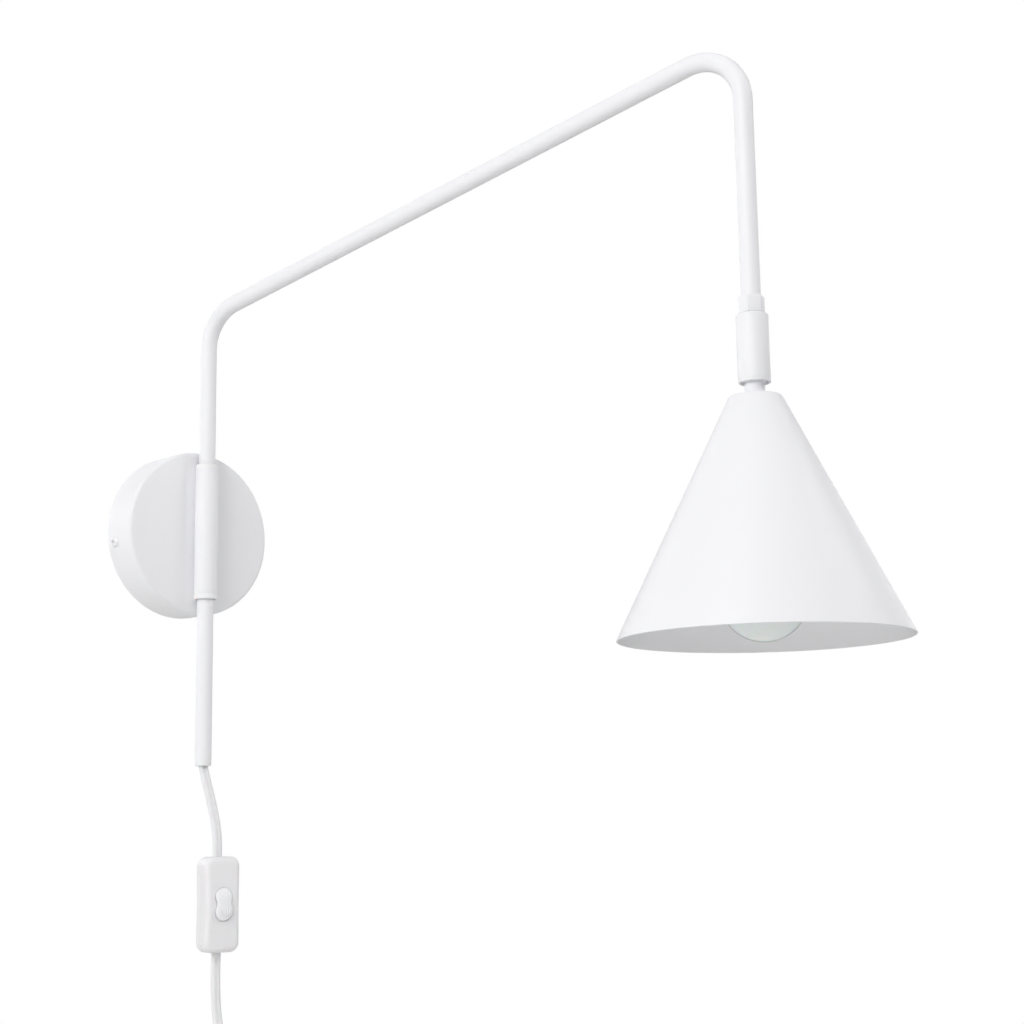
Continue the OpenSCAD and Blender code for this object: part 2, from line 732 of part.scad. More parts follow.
module cord_hank() {
    wide = hank_half(run_half);
    right = [for (z = [-run_half:6:run_half]) [hank_half(z), z]];
    left = [for (z = [run_half:-6:-run_half]) [-hank_half(z), z]];
    color("WhiteSmoke") translate(hank_pos) translate([0, hank_t / 2, 0]) out_of_wall()
        linear_extrude(height = hank_t) polygon(concat(right,
            [for (a = [15:15:165]) [wide * cos(a), run_half + wide * sin(a)]], left,
            [for (a = [195:15:345]) [wide * cos(a), -run_half + wide * sin(a)]]));
}

module hank_tie() {
    tie_h = 4;
    inner_w = 9;
    inner_t = hank_t / 2 + 0.1;
    color("White") translate(hank_pos) difference() {
        translate([-inner_w - 1.2, -inner_t - 1.2, -tie_h])
            cube([2 * inner_w + 2.4, 2 * inner_t + 2.4, 2 * tie_h]);
        translate([-inner_w, -inner_t, -tie_h - 1]) cube([2 * inner_w, 2 * inner_t, 2 * tie_h + 2]);
    }
}

module plug_body() {
    color("White") translate(plug_top) {
        translate([0, 0, -grip_len]) cylinder(r1 = 5.4, r2 = 4, h = grip_len);
        translate([0, 0, -grip_len - plug_neck]) linear_extrude(height = plug_neck)
            round_rect(plug_w - 9, plug_t, 5);
        translate([0, 0, -grip_len - plug_len]) linear_extrude(height = plug_len - plug_neck)
            round_rect(plug_w, plug_t, 5);
    }
}

module plug_pins() {
    color("Goldenrod") translate(plug_top) for (s = [-1, 1])
        translate([s * pin_pitch / 2, 0, -grip_len - plug_len - pin_len]) {
            translate([0, 0, 1]) cylinder(d = pin_d, h = pin_len - 1);
            cylinder(r1 = pin_d / 2 - 0.8, r2 = pin_d / 2, h = 1);
        }
}

wall_strap();
canopy_cup();
canopy_screws();
sleeve_tube();
sleeve_screws();
upper_bush();
lower_bush();
arm_tube();
snap_rings();
cord_clamp();
clamp_screw();
arm_wire();
outlet_bush();
hex_fitting();
stem_ring();
turn_washer();
joint_housing();
disc_springs();
ball_seat();
socket_ring();
ball_stud();
shade_cone();
shade_washer();
lock_nut();
holder_cap();
holder_base();
holder_body();
holder_shell();
holder_contact();
bulb_globe();
bulb_collar();
bulb_cap();
bulb_insulator();
bulb_tip();
cord_upper();
switch_front();
switch_back();
switch_screws();
switch_terminals();
rocker_pin();
switch_rocker();
rocker_bridge();
cord_lower();
cord_hank();
hank_tie();
cord_tail();
plug_body();
plug_pins();
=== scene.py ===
import math

import bmesh
import bpy
from mathutils import Matrix, Vector


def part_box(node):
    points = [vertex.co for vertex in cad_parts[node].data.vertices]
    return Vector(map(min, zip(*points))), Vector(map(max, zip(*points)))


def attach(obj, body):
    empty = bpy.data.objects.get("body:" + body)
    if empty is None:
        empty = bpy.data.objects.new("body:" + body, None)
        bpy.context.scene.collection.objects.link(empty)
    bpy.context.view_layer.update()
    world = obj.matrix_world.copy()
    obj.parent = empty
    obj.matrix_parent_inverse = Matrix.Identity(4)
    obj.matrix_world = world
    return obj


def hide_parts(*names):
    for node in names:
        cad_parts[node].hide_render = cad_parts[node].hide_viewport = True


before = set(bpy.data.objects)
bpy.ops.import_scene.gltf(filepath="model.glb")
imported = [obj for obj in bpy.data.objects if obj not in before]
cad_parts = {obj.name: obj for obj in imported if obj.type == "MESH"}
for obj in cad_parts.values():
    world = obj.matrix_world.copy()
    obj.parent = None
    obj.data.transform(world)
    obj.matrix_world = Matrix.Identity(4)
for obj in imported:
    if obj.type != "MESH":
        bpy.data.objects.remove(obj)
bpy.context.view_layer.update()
scene = bpy.context.scene
scene.view_settings.view_transform = "Standard"
mm = 0.001


def boxOf(*names):
    corners = [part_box(name) for name in names]
    low = Vector([min(c[0][i] for c in corners) for i in range(3)])
    high = Vector([max(c[1][i] for c in corners) for i in range(3)])
    return low, high


def middleOf(*names):
    low, high = boxOf(*names)
    return (low + high) / 2


# the two upright axes that everything is centred on
postAxis = middleOf("cord_clamp").xy
dropAxis = middleOf("turn_washer").xy
reach = (dropAxis - postAxis).length
armHeading = math.atan2(dropAxis.y - postAxis.y, dropAxis.x - postAxis.x)


def moved(x, y, z):
    return Matrix.Translation((x, y, z))


def turned(degrees, axis):
    return Matrix.Rotation(math.radians(degrees), 4, axis)


def atPost():
    return moved(postAxis.x, postAxis.y, 0)


def atDrop():
    return moved(dropAxis.x, dropAxis.y, 0)


# a place given in millimetres
def atPlace(place):
    return moved(*(v * mm for v in place))


cameraView = {
    "place": (-0.6236, -0.9298, -0.1807),
    "heading": -44.765,  # degrees, from straight at the wall
    "pitch": 10.014,
    "roll": -0.954,
    "lens": 61.8,
}


def makeCamera():
    data = bpy.data.cameras.new("camera")
    data.lens = cameraView["lens"]
    data.sensor_width = 36
    data.clip_start = 0.01
    data.clip_end = 50
    camera = bpy.data.objects.new("camera", data)
    scene.collection.objects.link(camera)
    turns = [("heading", "Z", 0), ("pitch", "X", 90), ("roll", "Z", 0)]
    aim = Matrix.Translation(cameraView["place"])
    for name, axis, extra in turns:
        aim = aim @ turned(cameraView[name] + extra, axis)
    camera.matrix_world = aim
    scene.camera = camera


makeCamera()
print("camera placed")


def linearColour(hexText):
    channels = [int(hexText[i:i + 2], 16) / 255 for i in (1, 3, 5)]
    return tuple(c / 12.92 if c <= 0.04045 else ((c + 0.055) / 1.055) ** 2.4 for c in channels) + (1,)


# adds a node to a tree; an input may be a value or another node's output
def addNode(tree, kind, settings=None, inputs=None):
    node = tree.nodes.new(kind)
    for name, value in (settings or {}).items():
        setattr(node, name, value)
    for name, value in (inputs or {}).items():
        if isinstance(value, bpy.types.NodeSocket):
            tree.links.new(value, node.inputs[name])
        else:
            node.inputs[name].default_value = value
    return node


def newFinish(name, colour, roughness, **others):
    material = bpy.data.materials.new(name)
    material.use_nodes = True
    material.diffuse_color = linearColour(colour)
    tree = material.node_tree
    shader = tree.nodes["Principled BSDF"]
    shader.inputs["Base Color"].default_value = linearColour(colour)
    shader.inputs["Roughness"].default_value = roughness
    for label, value in others.items():
        shader.inputs[label.replace("_", " ")].default_value = value
    return material, tree, shader


def objectPlace(tree):
    return addNode(tree, "ShaderNodeTexCoord").outputs["Object"]


# noise whose blobs are about size millimetres across
def noiseOf(tree, place, size, detail=2.0):
    inputs = {"Vector": place, "Scale": 1 / (size * mm), "Detail": detail}
    return addNode(tree, "ShaderNodeTexNoise", None, inputs).outputs["Fac"]


def mapped(tree, value, low, high, start=0.3, end=0.7):
    inputs = {"Value": value, "From Min": start, "From Max": end, "To Min": low, "To Max": high}
    return addNode(tree, "ShaderNodeMapRange", None, inputs).outputs["Result"]


def blended(tree, amount, first, second):
    node = addNode(tree, "ShaderNodeMix", {"data_type": "RGBA"}, {0: amount})
    node.inputs[6].default_value = linearColour(first)
    node.inputs[7].default_value = linearColour(second)
    return node.outputs[2]


def bumped(tree, height, depth, strength=1.0, under=None):
    inputs = {"Height": height, "Distance": depth * mm, "Strength": strength}
    if under is not None:
        inputs["Normal"] = under
    return addNode(tree, "ShaderNodeBump", None, inputs).outputs["Normal"]


# white polyester powder coat on steel: satin, with a faint orange peel that softens every highlight
powderLook = {"colour": "#F3F3F6", "cloud": "#EFEFF2", "roughness": (0.46, 0.56), "cloudSize": 45,
              "peelSize": 3.2, "peelDepth": 0.012, "grainSize": 1.4, "grainDepth": 0.003}


def makePowderCoat():
    look = powderLook
    material, tree, shader = newFinish("powderCoatWhite", look["colour"], 0.5)
    place = objectPlace(tree)
    cloud = noiseOf(tree, place, look["cloudSize"], 3)
    tree.links.new(blended(tree, cloud, look["colour"], look["cloud"]), shader.inputs["Base Color"])
    tree.links.new(mapped(tree, noiseOf(tree, place, 6), *look["roughness"]), shader.inputs["Roughness"])
    peel = bumped(tree, noiseOf(tree, place, look["peelSize"]), look["peelDepth"])
    grain = bumped(tree, noiseOf(tree, place, look["grainSize"]), look["grainDepth"], 1.0, peel)
    tree.links.new(grain, shader.inputs["Normal"])
    return material


# turned white nylon: a little softer than the coat, with light passing just under its skin
nylonLook = {"colour": "#F3F3F4", "roughness": 0.42, "turning": 0.25, "depth": 0.004}


def makeNylon():
    look = nylonLook
    material, tree, shader = newFinish("turnedNylonWhite", look["colour"], look["roughness"],
                                       Subsurface_Weight=0.12, Subsurface_Scale=0.0008)
    place = objectPlace(tree)
    rings = addNode(tree, "ShaderNodeTexWave", {"bands_direction": "Z"},
                    {"Vector": place, "Scale": 1 / (look["turning"] * mm) / 20, "Distortion": 0.4})
    tree.links.new(bumped(tree, rings.outputs["Fac"], look["depth"], 0.6), shader.inputs["Normal"])
    return material


# bright zinc plating: grey metal with a soft cloudy sheen and fine rolling lines
zincLook = {"colour": "#C6C9CE", "cloud": "#AEB3BA", "roughness": (0.26, 0.42), "lines": 0.4}


def makeZinc():
    look = zincLook
    material, tree, shader = newFinish("zincPlatedSteel", look["colour"], 0.34, Metallic=1.0)
    place = objectPlace(tree)
    cloud = noiseOf(tree, place, 5, 4)
    tree.links.new(blended(tree, cloud, look["colour"], look["cloud"]), shader.inputs["Base Color"])
    stretched = addNode(tree, "ShaderNodeMapping", None, {"Vector": place, "Scale": (0.06, 1, 1)})
    lines = noiseOf(tree, stretched.outputs["Vector"], look["lines"], 3)
    tree.links.new(mapped(tree, lines, *look["roughness"]), shader.inputs["Roughness"])
    tree.links.new(bumped(tree, lines, 0.004, 0.5), shader.inputs["Normal"])
    return material


# extruded white PVC sheath: a low sheen, fine drawing lines along the cord and a little flex crazing
pvcLook = {"colour": "#F0F0F2", "worn": "#EBEBEC", "roughness": (0.36, 0.48), "line": 0.6, "depth": 0.006}


def makeCordPvc():
    look = pvcLook
    material, tree, shader = newFinish("cordPvcWhite", look["colour"], 0.42, Subsurface_Weight=0.08,
                                       Subsurface_Scale=0.0006)
    along = addNode(tree, "ShaderNodeUVMap", {"uv_map": "sheath"}).outputs["UV"]
    # the map is in metres: x round the sheath, y along the cord
    drawn = addNode(tree, "ShaderNodeMapping", None, {"Vector": along, "Scale": (1, 0.02, 1)})
    lines = noiseOf(tree, drawn.outputs["Vector"], look["line"], 3)
    patches = noiseOf(tree, along, 22, 3)
    tree.links.new(blended(tree, patches, look["colour"], look["worn"]), shader.inputs["Base Color"])
    tree.links.new(mapped(tree, lines, *look["roughness"]), shader.inputs["Roughness"])
    tree.links.new(bumped(tree, lines, look["depth"]), shader.inputs["Normal"])
    return material


# moulded white ABS with a spark-eroded skin: matt speckle, coarser than its real 0.1 mm so that it shows
absLook = {"colour": "#F2F1F3", "cloud": "#EEEDEF", "speckle": 0.8, "depth": 0.006}


def makeAbs(name, roughness, depth, colour=absLook["colour"], cloudColour=absLook["cloud"]):
    look = absLook
    material, tree, shader = newFinish(name, colour, 0.45, Subsurface_Weight=0.05,
                                       Subsurface_Scale=0.0006)
    place = objectPlace(tree)
    cloud = noiseOf(tree, place, 14, 2)
    tree.links.new(blended(tree, cloud, colour, cloudColour), shader.inputs["Base Color"])
    tree.links.new(mapped(tree, noiseOf(tree, place, 3), *roughness), shader.inputs["Roughness"])
    speckle = noiseOf(tree, place, look["speckle"], 4)
    tree.links.new(bumped(tree, speckle, depth), shader.inputs["Normal"])
    return material


# drawn or pressed metal: fine scratches in one direction over a slightly uneven shine
def makeMetal(name, colour, tarnish, roughness, scratch=0.2):
    material, tree, shader = newFinish(name, colour, sum(roughness) / 2, Metallic=1.0)
    place = objectPlace(tree)
    stain = noiseOf(tree, place, 4, 4)
    tree.links.new(blended(tree, stain, colour, tarnish), shader.inputs["Base Color"])
    long = addNode(tree, "ShaderNodeMapping", None, {"Vector": place, "Scale": (1, 1, 0.08)})
    lines = noiseOf(tree, long.outputs["Vector"], scratch, 3)
    tree.links.new(mapped(tree, lines, *roughness), shader.inputs["Roughness"])
    tree.links.new(bumped(tree, lines, 0.003, 0.5), shader.inputs["Normal"])
    return material


# glazed off-white steatite: dense ceramic with a sparse fine grain
def makeSteatite():
    material, tree, shader = newFinish("steatiteCeramic", "#E9E4D8", 0.55)
    place = objectPlace(tree)
    grain = noiseOf(tree, place, 0.7, 5)
    tree.links.new(blended(tree, grain, "#EDE8DC", "#DDD5C4"), shader.inputs["Base Color"])
    tree.links.new(bumped(tree, grain, 0.02, 0.6), shader.inputs["Normal"])
    return material


# opal glass: smooth gloss over milk-white glass, barely rippled by blowing
opalLook = {"colour": "#FAFAFA", "roughness": 0.09, "ripple": 14, "depth": 0.03}


def makeOpalGlass():
    look = opalLook
    material, tree, shader = newFinish("opalGlassWhite", look["colour"], look["roughness"],
                                       Subsurface_Weight=0.35, Subsurface_Scale=0.003, IOR=1.52)
    place = objectPlace(tree)
    milk = noiseOf(tree, place, 18, 2)
    tree.links.new(blended(tree, milk, look["colour"], "#F6F6F5"), shader.inputs["Base Color"])
    tree.links.new(bumped(tree, noiseOf(tree, place, look["ripple"]), look["depth"], 0.4),
                   shader.inputs["Normal"])
    return material


# black glass insulator of the bulb's cap: hard, wet-looking gloss with a few flow marks
def makeBlackGlass():
    material, tree, shader = newFinish("vitriteBlackGlass", "#141416", 0.12)
    flow = noiseOf(tree, objectPlace(tree), 2.5, 3)
    tree.links.new(mapped(tree, flow, 0.08, 0.2), shader.inputs["Roughness"])
    tree.links.new(bumped(tree, flow, 0.02, 0.5), shader.inputs["Normal"])
    return material


powderCoat = makePowderCoat()
nylon = makeNylon()
zinc = makeZinc()
cordPvc = makeCordPvc()
switchAbs = makeAbs("switchAbsMatt", (0.42, 0.54), absLook["depth"])
rockerAbs = makeAbs("rockerAbsSatin", (0.28, 0.38), absLook["depth"] / 3, "#F5F5F7", "#F1F1F3")
holderPlastic = makeAbs("holderPetMoulded", (0.38, 0.5), absLook["depth"] / 2)
brass = makeMetal("pressedBrass", "#D8B36C", "#B98F4E", (0.28, 0.44))
nickel = makeMetal("nickelPlate", "#CFCBC2", "#B9B4AA", (0.18, 0.32))
springSteel = makeMetal("springSteel", "#8F959C", "#6F757D", (0.3, 0.45))
tin = makeMetal("solderTin", "#BFC2C6", "#9EA2A8", (0.35, 0.5))
steatite = makeSteatite()
opalGlass = makeOpalGlass()
blackGlass = makeBlackGlass()
print("finishes made")


# turns corners (x, y, fillet radius) into a line with true arcs; sizes in millimetres
def rounded(corners, closed=True, steps=6):
    line = []
    for i, (x, y, radius) in enumerate(corners):
        here = Vector((x, y))
        if radius <= 0 or (not closed and i in (0, len(corners) - 1)):
            line.append(here)
            continue
        before = (Vector(corners[i - 1][:2]) - here).normalized()
        after = (Vector(corners[(i + 1) % len(corners)][:2]) - here).normalized()
        half = before.angle(after) / 2
        centre = here + (before + after).normalized() * radius / math.sin(half)
        first = here + before * radius / math.tan(half) - centre
        last = here + after * radius / math.tan(half) - centre
        turn = first.angle(last)
        for k in range(steps + 1):
            a, b = math.sin((1 - k / steps) * turn), math.sin(k / steps * turn)
            line.append(centre + (first * a + last * b) / math.sin(turn))
    return line


# joins rings of points, each with the same count or a single point, into a skin
def lofted(rings, closed=False):
    points, starts, faces = [], [], []
    for ring in rings:
        starts.append(len(points))
        points += [tuple(p) for p in ring]
    pairs = list(zip(range(len(rings) - 1), range(1, len(rings))))
    if closed:
        pairs.append((len(rings) - 1, 0))
    for low, high in pairs:
        a, b, count = starts[low], starts[high], max(len(rings[low]), len(rings[high]))
        if count == 1:
            continue
        for k in range(count):
            n = (k + 1) % count
            if len(rings[low]) == 1:
                faces.append((a, b + n, b + k))
            elif len(rings[high]) == 1:
                faces.append((a + k, a + n, b))
            else:
                faces.append((a + k, a + n, b + n, b + k))
    if not closed:
        if len(rings[0]) > 2:
            faces.append(tuple(reversed(range(starts[0], starts[0] + len(rings[0])))))
        if len(rings[-1]) > 2:
            faces.append(tuple(range(starts[-1], starts[-1] + len(rings[-1]))))
    return points, faces


def circleAt(radius, height, sides):
    if radius < 1e-6:
        return [(0, 0, height)]
    angles = [2 * math.pi * k / sides for k in range(sides)]
    return [(radius * math.cos(a), radius * math.sin(a), height) for a in angles]


# spins a closed outline of (radius, height) points about Z
def revolved(outline, sides=160):
    return lofted([circleAt(r, h, sides) for r, h in outline], closed=True)


# several shapes as one
def joined(shapes):
    points, faces = [], []
    for shapePoints, shapeFaces in shapes:
        shift = len(points)
        points += shapePoints
        faces += [tuple(i + shift for i in face) for face in shapeFaces]
    return points, faces


def newMesh(name, shapes, place=None, scale=mm):
    points, faces = joined(shapes)
    mesh = bpy.data.meshes.new(name)
    mesh.from_pydata(points, [], faces)
    mesh.transform(Matrix.Scale(scale, 4))
    if place is not None:
        mesh.transform(place)
    tidyMesh(mesh)
    return mesh


def tidyMesh(mesh):
    work = bmesh.new()
    work.from_mesh(mesh)
    bmesh.ops.remove_doubles(work, verts=work.verts, dist=1e-7)
    bmesh.ops.dissolve_degenerate(work, edges=work.edges, dist=1e-8)
    bmesh.ops.recalc_face_normals(work, faces=work.faces)
    work.to_mesh(mesh)
    work.free()


def newObject(name, mesh):
    piece = bpy.data.objects.new(name, mesh)
    scene.collection.objects.link(piece)
    return piece


def newShape(name, shapes, place=None, scale=mm):
    return newObject(name, newMesh("skin", shapes, place, scale))


# turns a piece and its modifiers into a plain mesh
def applied(piece):
    graph = bpy.context.evaluated_depsgraph_get()
    piece.data = bpy.data.meshes.new_from_object(piece.evaluated_get(graph))
    piece.modifiers.clear()
    return piece


# applies every modifier, and gives the piece one finish
def settled(piece, finish, crease=35):
    mesh = applied(piece).data
    mesh.name = piece.name
    mesh.materials.clear()
    mesh.materials.append(finish)
    mesh.polygons.foreach_set("material_index", [0] * len(mesh.polygons))
    mesh.shade_smooth()
    mesh.set_sharp_from_angle(angle=math.radians(crease))
    return piece


# works on one piece with another object, which is used up
def merged(piece, other, operation="UNION"):
    change = piece.modifiers.new(operation.title(), "BOOLEAN")
    change.operation = operation
    change.solver = "EXACT"
    change.object = other
    applied(piece)
    bpy.data.objects.remove(other)
    return piece


# cuts away, or joins on, the shapes given
def shaped(piece, shapes, operation="DIFFERENCE", place=None):
    return merged(piece, newShape("tool", shapes, place), operation)


def softened(piece, width, segments=3, limit=30):
    bevel = piece.modifiers.new("Bevel", "BEVEL")
    bevel.width = width * mm
    bevel.segments = segments
    bevel.limit_method = "ANGLE"
    bevel.angle_limit = math.radians(limit)
    bevel.harden_normals = False
    return piece


def fitted(piece, body, slotName, *nodes):
    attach(piece, body)
    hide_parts(*nodes)
    return piece


# a round piece with its finish, body and the nodes that it replaces
def spun(name, outline, sides, place, finish, *fits):
    piece = newShape(name, [revolved(outline, sides)], place)
    return fitted(settled(piece, finish), *fits)


# a straight bar of a given outline, from one height to another
def barOf(outline, low, high):
    return lofted([[(x, y, h) for x, y in outline] for h in (low, high)])


def roundBar(radius, low, high, sides=48):
    return lofted([circleAt(radius, h, sides) for h in (low, high)])


def boxShape(low, high):
    outline = [(low[0], low[1]), (high[0], low[1]), (high[0], high[1]), (low[0], high[1])]
    return barOf(outline, low[2], high[2])


def placed(shape, matrix):
    return [tuple(matrix @ Vector(p)) for p in shape[0]], shape[1]


# a geometry node tree with named inputs; gives the tree, its inputs, its output node and the identifiers
def startTree(name, sockets):
    tree = bpy.data.node_groups.new(name, "GeometryNodeTree")
    tree.interface.new_socket(name="Geometry", in_out="INPUT", socket_type="NodeSocketGeometry")
    identifiers = {}
    for label, kind in sockets.items():
        socket = tree.interface.new_socket(name=label, in_out="INPUT", socket_type="NodeSocket" + kind)
        identifiers[label] = socket.identifier
    tree.interface.new_socket(name="Geometry", in_out="OUTPUT", socket_type="NodeSocketGeometry")
    given = addNode(tree, "NodeGroupInput")
    result = addNode(tree, "NodeGroupOutput")
    return tree, given.outputs, result, identifiers


def endTree(tree, geometry, material, result):
    real = addNode(tree, "GeometryNodeRealizeInstances", None, {"Geometry": geometry})
    painted = addNode(tree, "GeometryNodeSetMaterial", None,
                      {"Geometry": real.outputs["Geometry"], "Material": material})
    tree.links.new(painted.outputs["Geometry"], result.inputs["Geometry"])


# sets the given shape at every point of a tree's geometry
def endCopies(tree, given, result, shapeName, points, turns):
    shape = addNode(tree, "GeometryNodeObjectInfo", None, {"Object": given[shapeName]})
    copies = addNode(tree, "GeometryNodeInstanceOnPoints", None,
                     {"Points": points, "Instance": shape.outputs["Geometry"], **turns})
    endTree(tree, copies.outputs["Instances"], given["Finish"], result)


def mathOf(tree, operation, first, second):
    return addNode(tree, "ShaderNodeMath", {"operation": operation}, {0: first, 1: second}).outputs["Value"]


# runs a tree on a base mesh and gives the plain mesh that comes out
def grown(name, base, treeParts, values):
    tree, identifiers = treeParts
    holder = newObject(name, base)
    grow = holder.modifiers.new("Grow", "NODES")
    grow.node_group = tree
    for label, value in values.items():
        grow[identifiers[label]] = value
    return applied(holder)


# copies of one shape, which is used up, grown from a single point
def copied(name, shape, treeParts, values):
    base = bpy.data.meshes.new(name)
    base.from_pydata([(0, 0, 0)], [], [])
    copies = grown(name, base, treeParts, {"Shape": shape, **values})
    bpy.data.objects.remove(shape)
    return copies


# a line with filleted corners, swept into a tube skin
def makeBentTubeTree():
    tree, given, result, identifiers = startTree("bentTube", {
        "Bend Radius": "Float", "Bend Steps": "Int", "Tube Radius": "Float", "Sides": "Int",
        "Finish": "Material"})
    line = addNode(tree, "GeometryNodeMeshToCurve", None, {"Mesh": given["Geometry"]})
    bends = addNode(tree, "GeometryNodeFilletCurve", {"mode": "POLY"},
                    {"Curve": line.outputs["Curve"], "Radius": given["Bend Radius"],
                     "Count": given["Bend Steps"]})
    circle = addNode(tree, "GeometryNodeCurvePrimitiveCircle", None,
                     {"Resolution": given["Sides"], "Radius": given["Tube Radius"]})
    skin = addNode(tree, "GeometryNodeCurveToMesh", None,
                   {"Curve": bends.outputs["Curve"], "Profile Curve": circle.outputs["Curve"]})
    endTree(tree, skin.outputs["Mesh"], given["Finish"], result)
    return tree, identifiers


# copies one shape along a row of points
def makeRowTree():
    tree, given, result, identifiers = startTree("shapeRow", {
        "Shape": "Object", "Count": "Int", "Step": "Vector", "Start": "Vector", "Last Scale": "Float",
        "Finish": "Material"})
    row = addNode(tree, "GeometryNodeMeshLine", None,
                  {"Count": given["Count"], "Start Location": given["Start"], "Offset": given["Step"]})
    index = addNode(tree, "GeometryNodeInputIndex")
    share = mathOf(tree, "DIVIDE", index.outputs["Index"], mathOf(tree, "SUBTRACT", given["Count"], 1.0))
    size = addNode(tree, "ShaderNodeMapRange", None,
                   {"Value": share, "To Min": 1.0, "To Max": given["Last Scale"]})
    across = addNode(tree, "ShaderNodeCombineXYZ", None,
                     {"X": size.outputs["Result"], "Y": size.outputs["Result"], "Z": 1.0})
    endCopies(tree, given, result, "Shape", row.outputs["Mesh"], {"Scale": across.outputs["Vector"]})
    return tree, identifiers


# sets one screw at each point of a mesh, its axis along the point's "facing" attribute
def makeScrewTree():
    tree, given, result, identifiers = startTree("screwSet", {"Screw": "Object", "Finish": "Material"})
    facing = addNode(tree, "GeometryNodeInputNamedAttribute", {"data_type": "FLOAT_VECTOR"},
                     {"Name": "facing"})
    turn = addNode(tree, "FunctionNodeAlignRotationToVector", {"axis": "Z"},
                   {"Vector": facing.outputs["Attribute"]})
    endCopies(tree, given, result, "Screw", given["Geometry"], {"Rotation": turn.outputs["Rotation"]})
    return tree, identifiers


# copies one shape round a circle, each copy turned to face out
def makeRoundTree():
    tree, given, result, identifiers = startTree("shapeRound", {
        "Shape": "Object", "Count": "Int", "Radius": "Float", "Finish": "Material"})
    circle = addNode(tree, "GeometryNodeMeshCircle", None,
                     {"Vertices": given["Count"], "Radius": given["Radius"]})
    index = addNode(tree, "GeometryNodeInputIndex")
    share = mathOf(tree, "DIVIDE", index.outputs["Index"], given["Count"])
    turn = addNode(tree, "ShaderNodeCombineXYZ", None, {"Z": mathOf(tree, "MULTIPLY", share, 2 * math.pi)})
    endCopies(tree, given, result, "Shape", circle.outputs["Mesh"], {"Rotation": turn.outputs["Vector"]})
    return tree, identifiers


bentTube = makeBentTubeTree()
shapeRow = makeRowTree()
screwSet = makeScrewTree()
shapeRound = makeRoundTree()
print("node trees made")


# the cord: flat twin lead from the post's foot through the switch to a tied hank and the plug, in millimetres
cordMade = {
    "width": 5.8,
    "thickness": 3.6,
    "length": 1.8,  # metres, as such a lamp's lead has
    "fromTube": [(0, -31, -138), (0.1, -31.1, -144), (1.4, -32.4, -152), (3.7, -34.7, -165),
                 (5.8, -36.8, -179), (6.6, -37.6, -190), (6.6, -37.6, -198)],
    "fromSwitch": [(6.6, -37.6, -254), (6.5, -37.5, -266), (6.5, -37.9, -278), (6.7, -39.1, -290),
                   (7, -41.1, -299), (7.1, -42.9, -307), (7.1, -43.4, -316), (6.8, -43, -327),
                   (6, -42, -345)],
    "toPlug": [(24.4, -41, -424), (23.2, -40, -437), (22, -39, -447), (22, -39, -456)],
    "insideSwitch": 13.5,  # sheath left on inside each end of the switch
    "hankCentre": (3, -369),
    "runHalf": 42,
    "innerFold": 17.5,
    "outerFold": 21.5,
    "innerGap": 2.2,
    "outerGap": 6.2,
    "layers": [-41.2, -35, -28.8],
    "switchTurn": -11,
    "hankTurn": -90,
    "twist": (-318, -362),  # heights between which the sheath turns from one to the other
}


# half the distance between a hank's two runs, at a height from its middle
def runGap(height, fold, gap):
    share = (1 - math.cos(math.pi * abs(height) / cordMade["runHalf"])) / 2
    return gap + (fold - gap) * share


# one run of the hank, down on the right or up on the left
def hankRun(fold, gap, layer, side, start):
    half, (cx, cz) = cordMade["runHalf"], cordMade["hankCentre"]
    heights = [start - (start + half) * k / 14 for k in range(15)]
    if side < 0:
        heights = [-half + 2 * half * k / 28 for k in range(29)]
    return [(cx + side * runGap(h, fold, gap), layer, cz + h) for h in heights]


# a half circle at the hank's end, moving from one layer to the next
def hankFold(fold, upper, layer, nextLayer, nextFold):
    half, (cx, cz) = cordMade["runHalf"], cordMade["hankCentre"]
    points = []
    for k in range(1, 16):
        share = k / 16
        ease = share * share * (3 - 2 * share)
        radius = fold + (nextFold - fold) * ease
        a = math.pi * (1 - share) if upper else -math.pi * share
        y = layer + (nextLayer - layer) * ease
        height = cz + (half if upper else -half) + radius * math.sin(a)
        points.append((cx + radius * math.cos(a), y, height))
    return points


def hankLine():
    made = cordMade
    inner = (made["innerFold"], made["innerGap"])
    outer = (made["outerFold"], made["outerGap"])
    front, middle, back = made["layers"]
    turns = [(inner, front), (inner, middle), (inner, back), (outer, back), (outer, middle), (outer, front)]
    line = []
    for i, ((fold, gap), layer) in enumerate(turns):
        line += hankRun(fold, gap, layer, 1, 0 if i == 0 else made["runHalf"])
        if i == len(turns) - 1:
            break
        (nextFold, nextGap), nextLayer = turns[i + 1]
        line += hankFold(fold, False, layer, layer, fold)
        line += hankRun(fold, gap, layer, -1, 0)
        line += hankFold(fold, True, layer, nextLayer, nextFold)
    return line


# a smooth line through chosen points, with new points about step apart
def smoothLine(points, step):
    points = [Vector(p) for p in points]
    ends = [2 * points[0] - points[1]] + points + [2 * points[-1] - points[-2]]
    line = [points[0]]
    for i in range(1, len(ends) - 2):
        a, b, c, d = ends[i - 1:i + 3]
        span = (c - b).length
        before, after = (b - a).length, (d - c).length
        leave = ((b - a) / before + (c - b) / span) / 2 * span
        arrive = ((c - b) / span + (d - c) / after) / 2 * span
        count = max(1, round(span / step))
        for k in range(1, count + 1):
            t = k / count
            line.append((2 * t**3 - 3 * t**2 + 1) * b + (t**3 - 2 * t**2 + t) * leave
                        + (3 * t**2 - 2 * t**3) * c + (t**3 - t**2) * arrive)
    return line


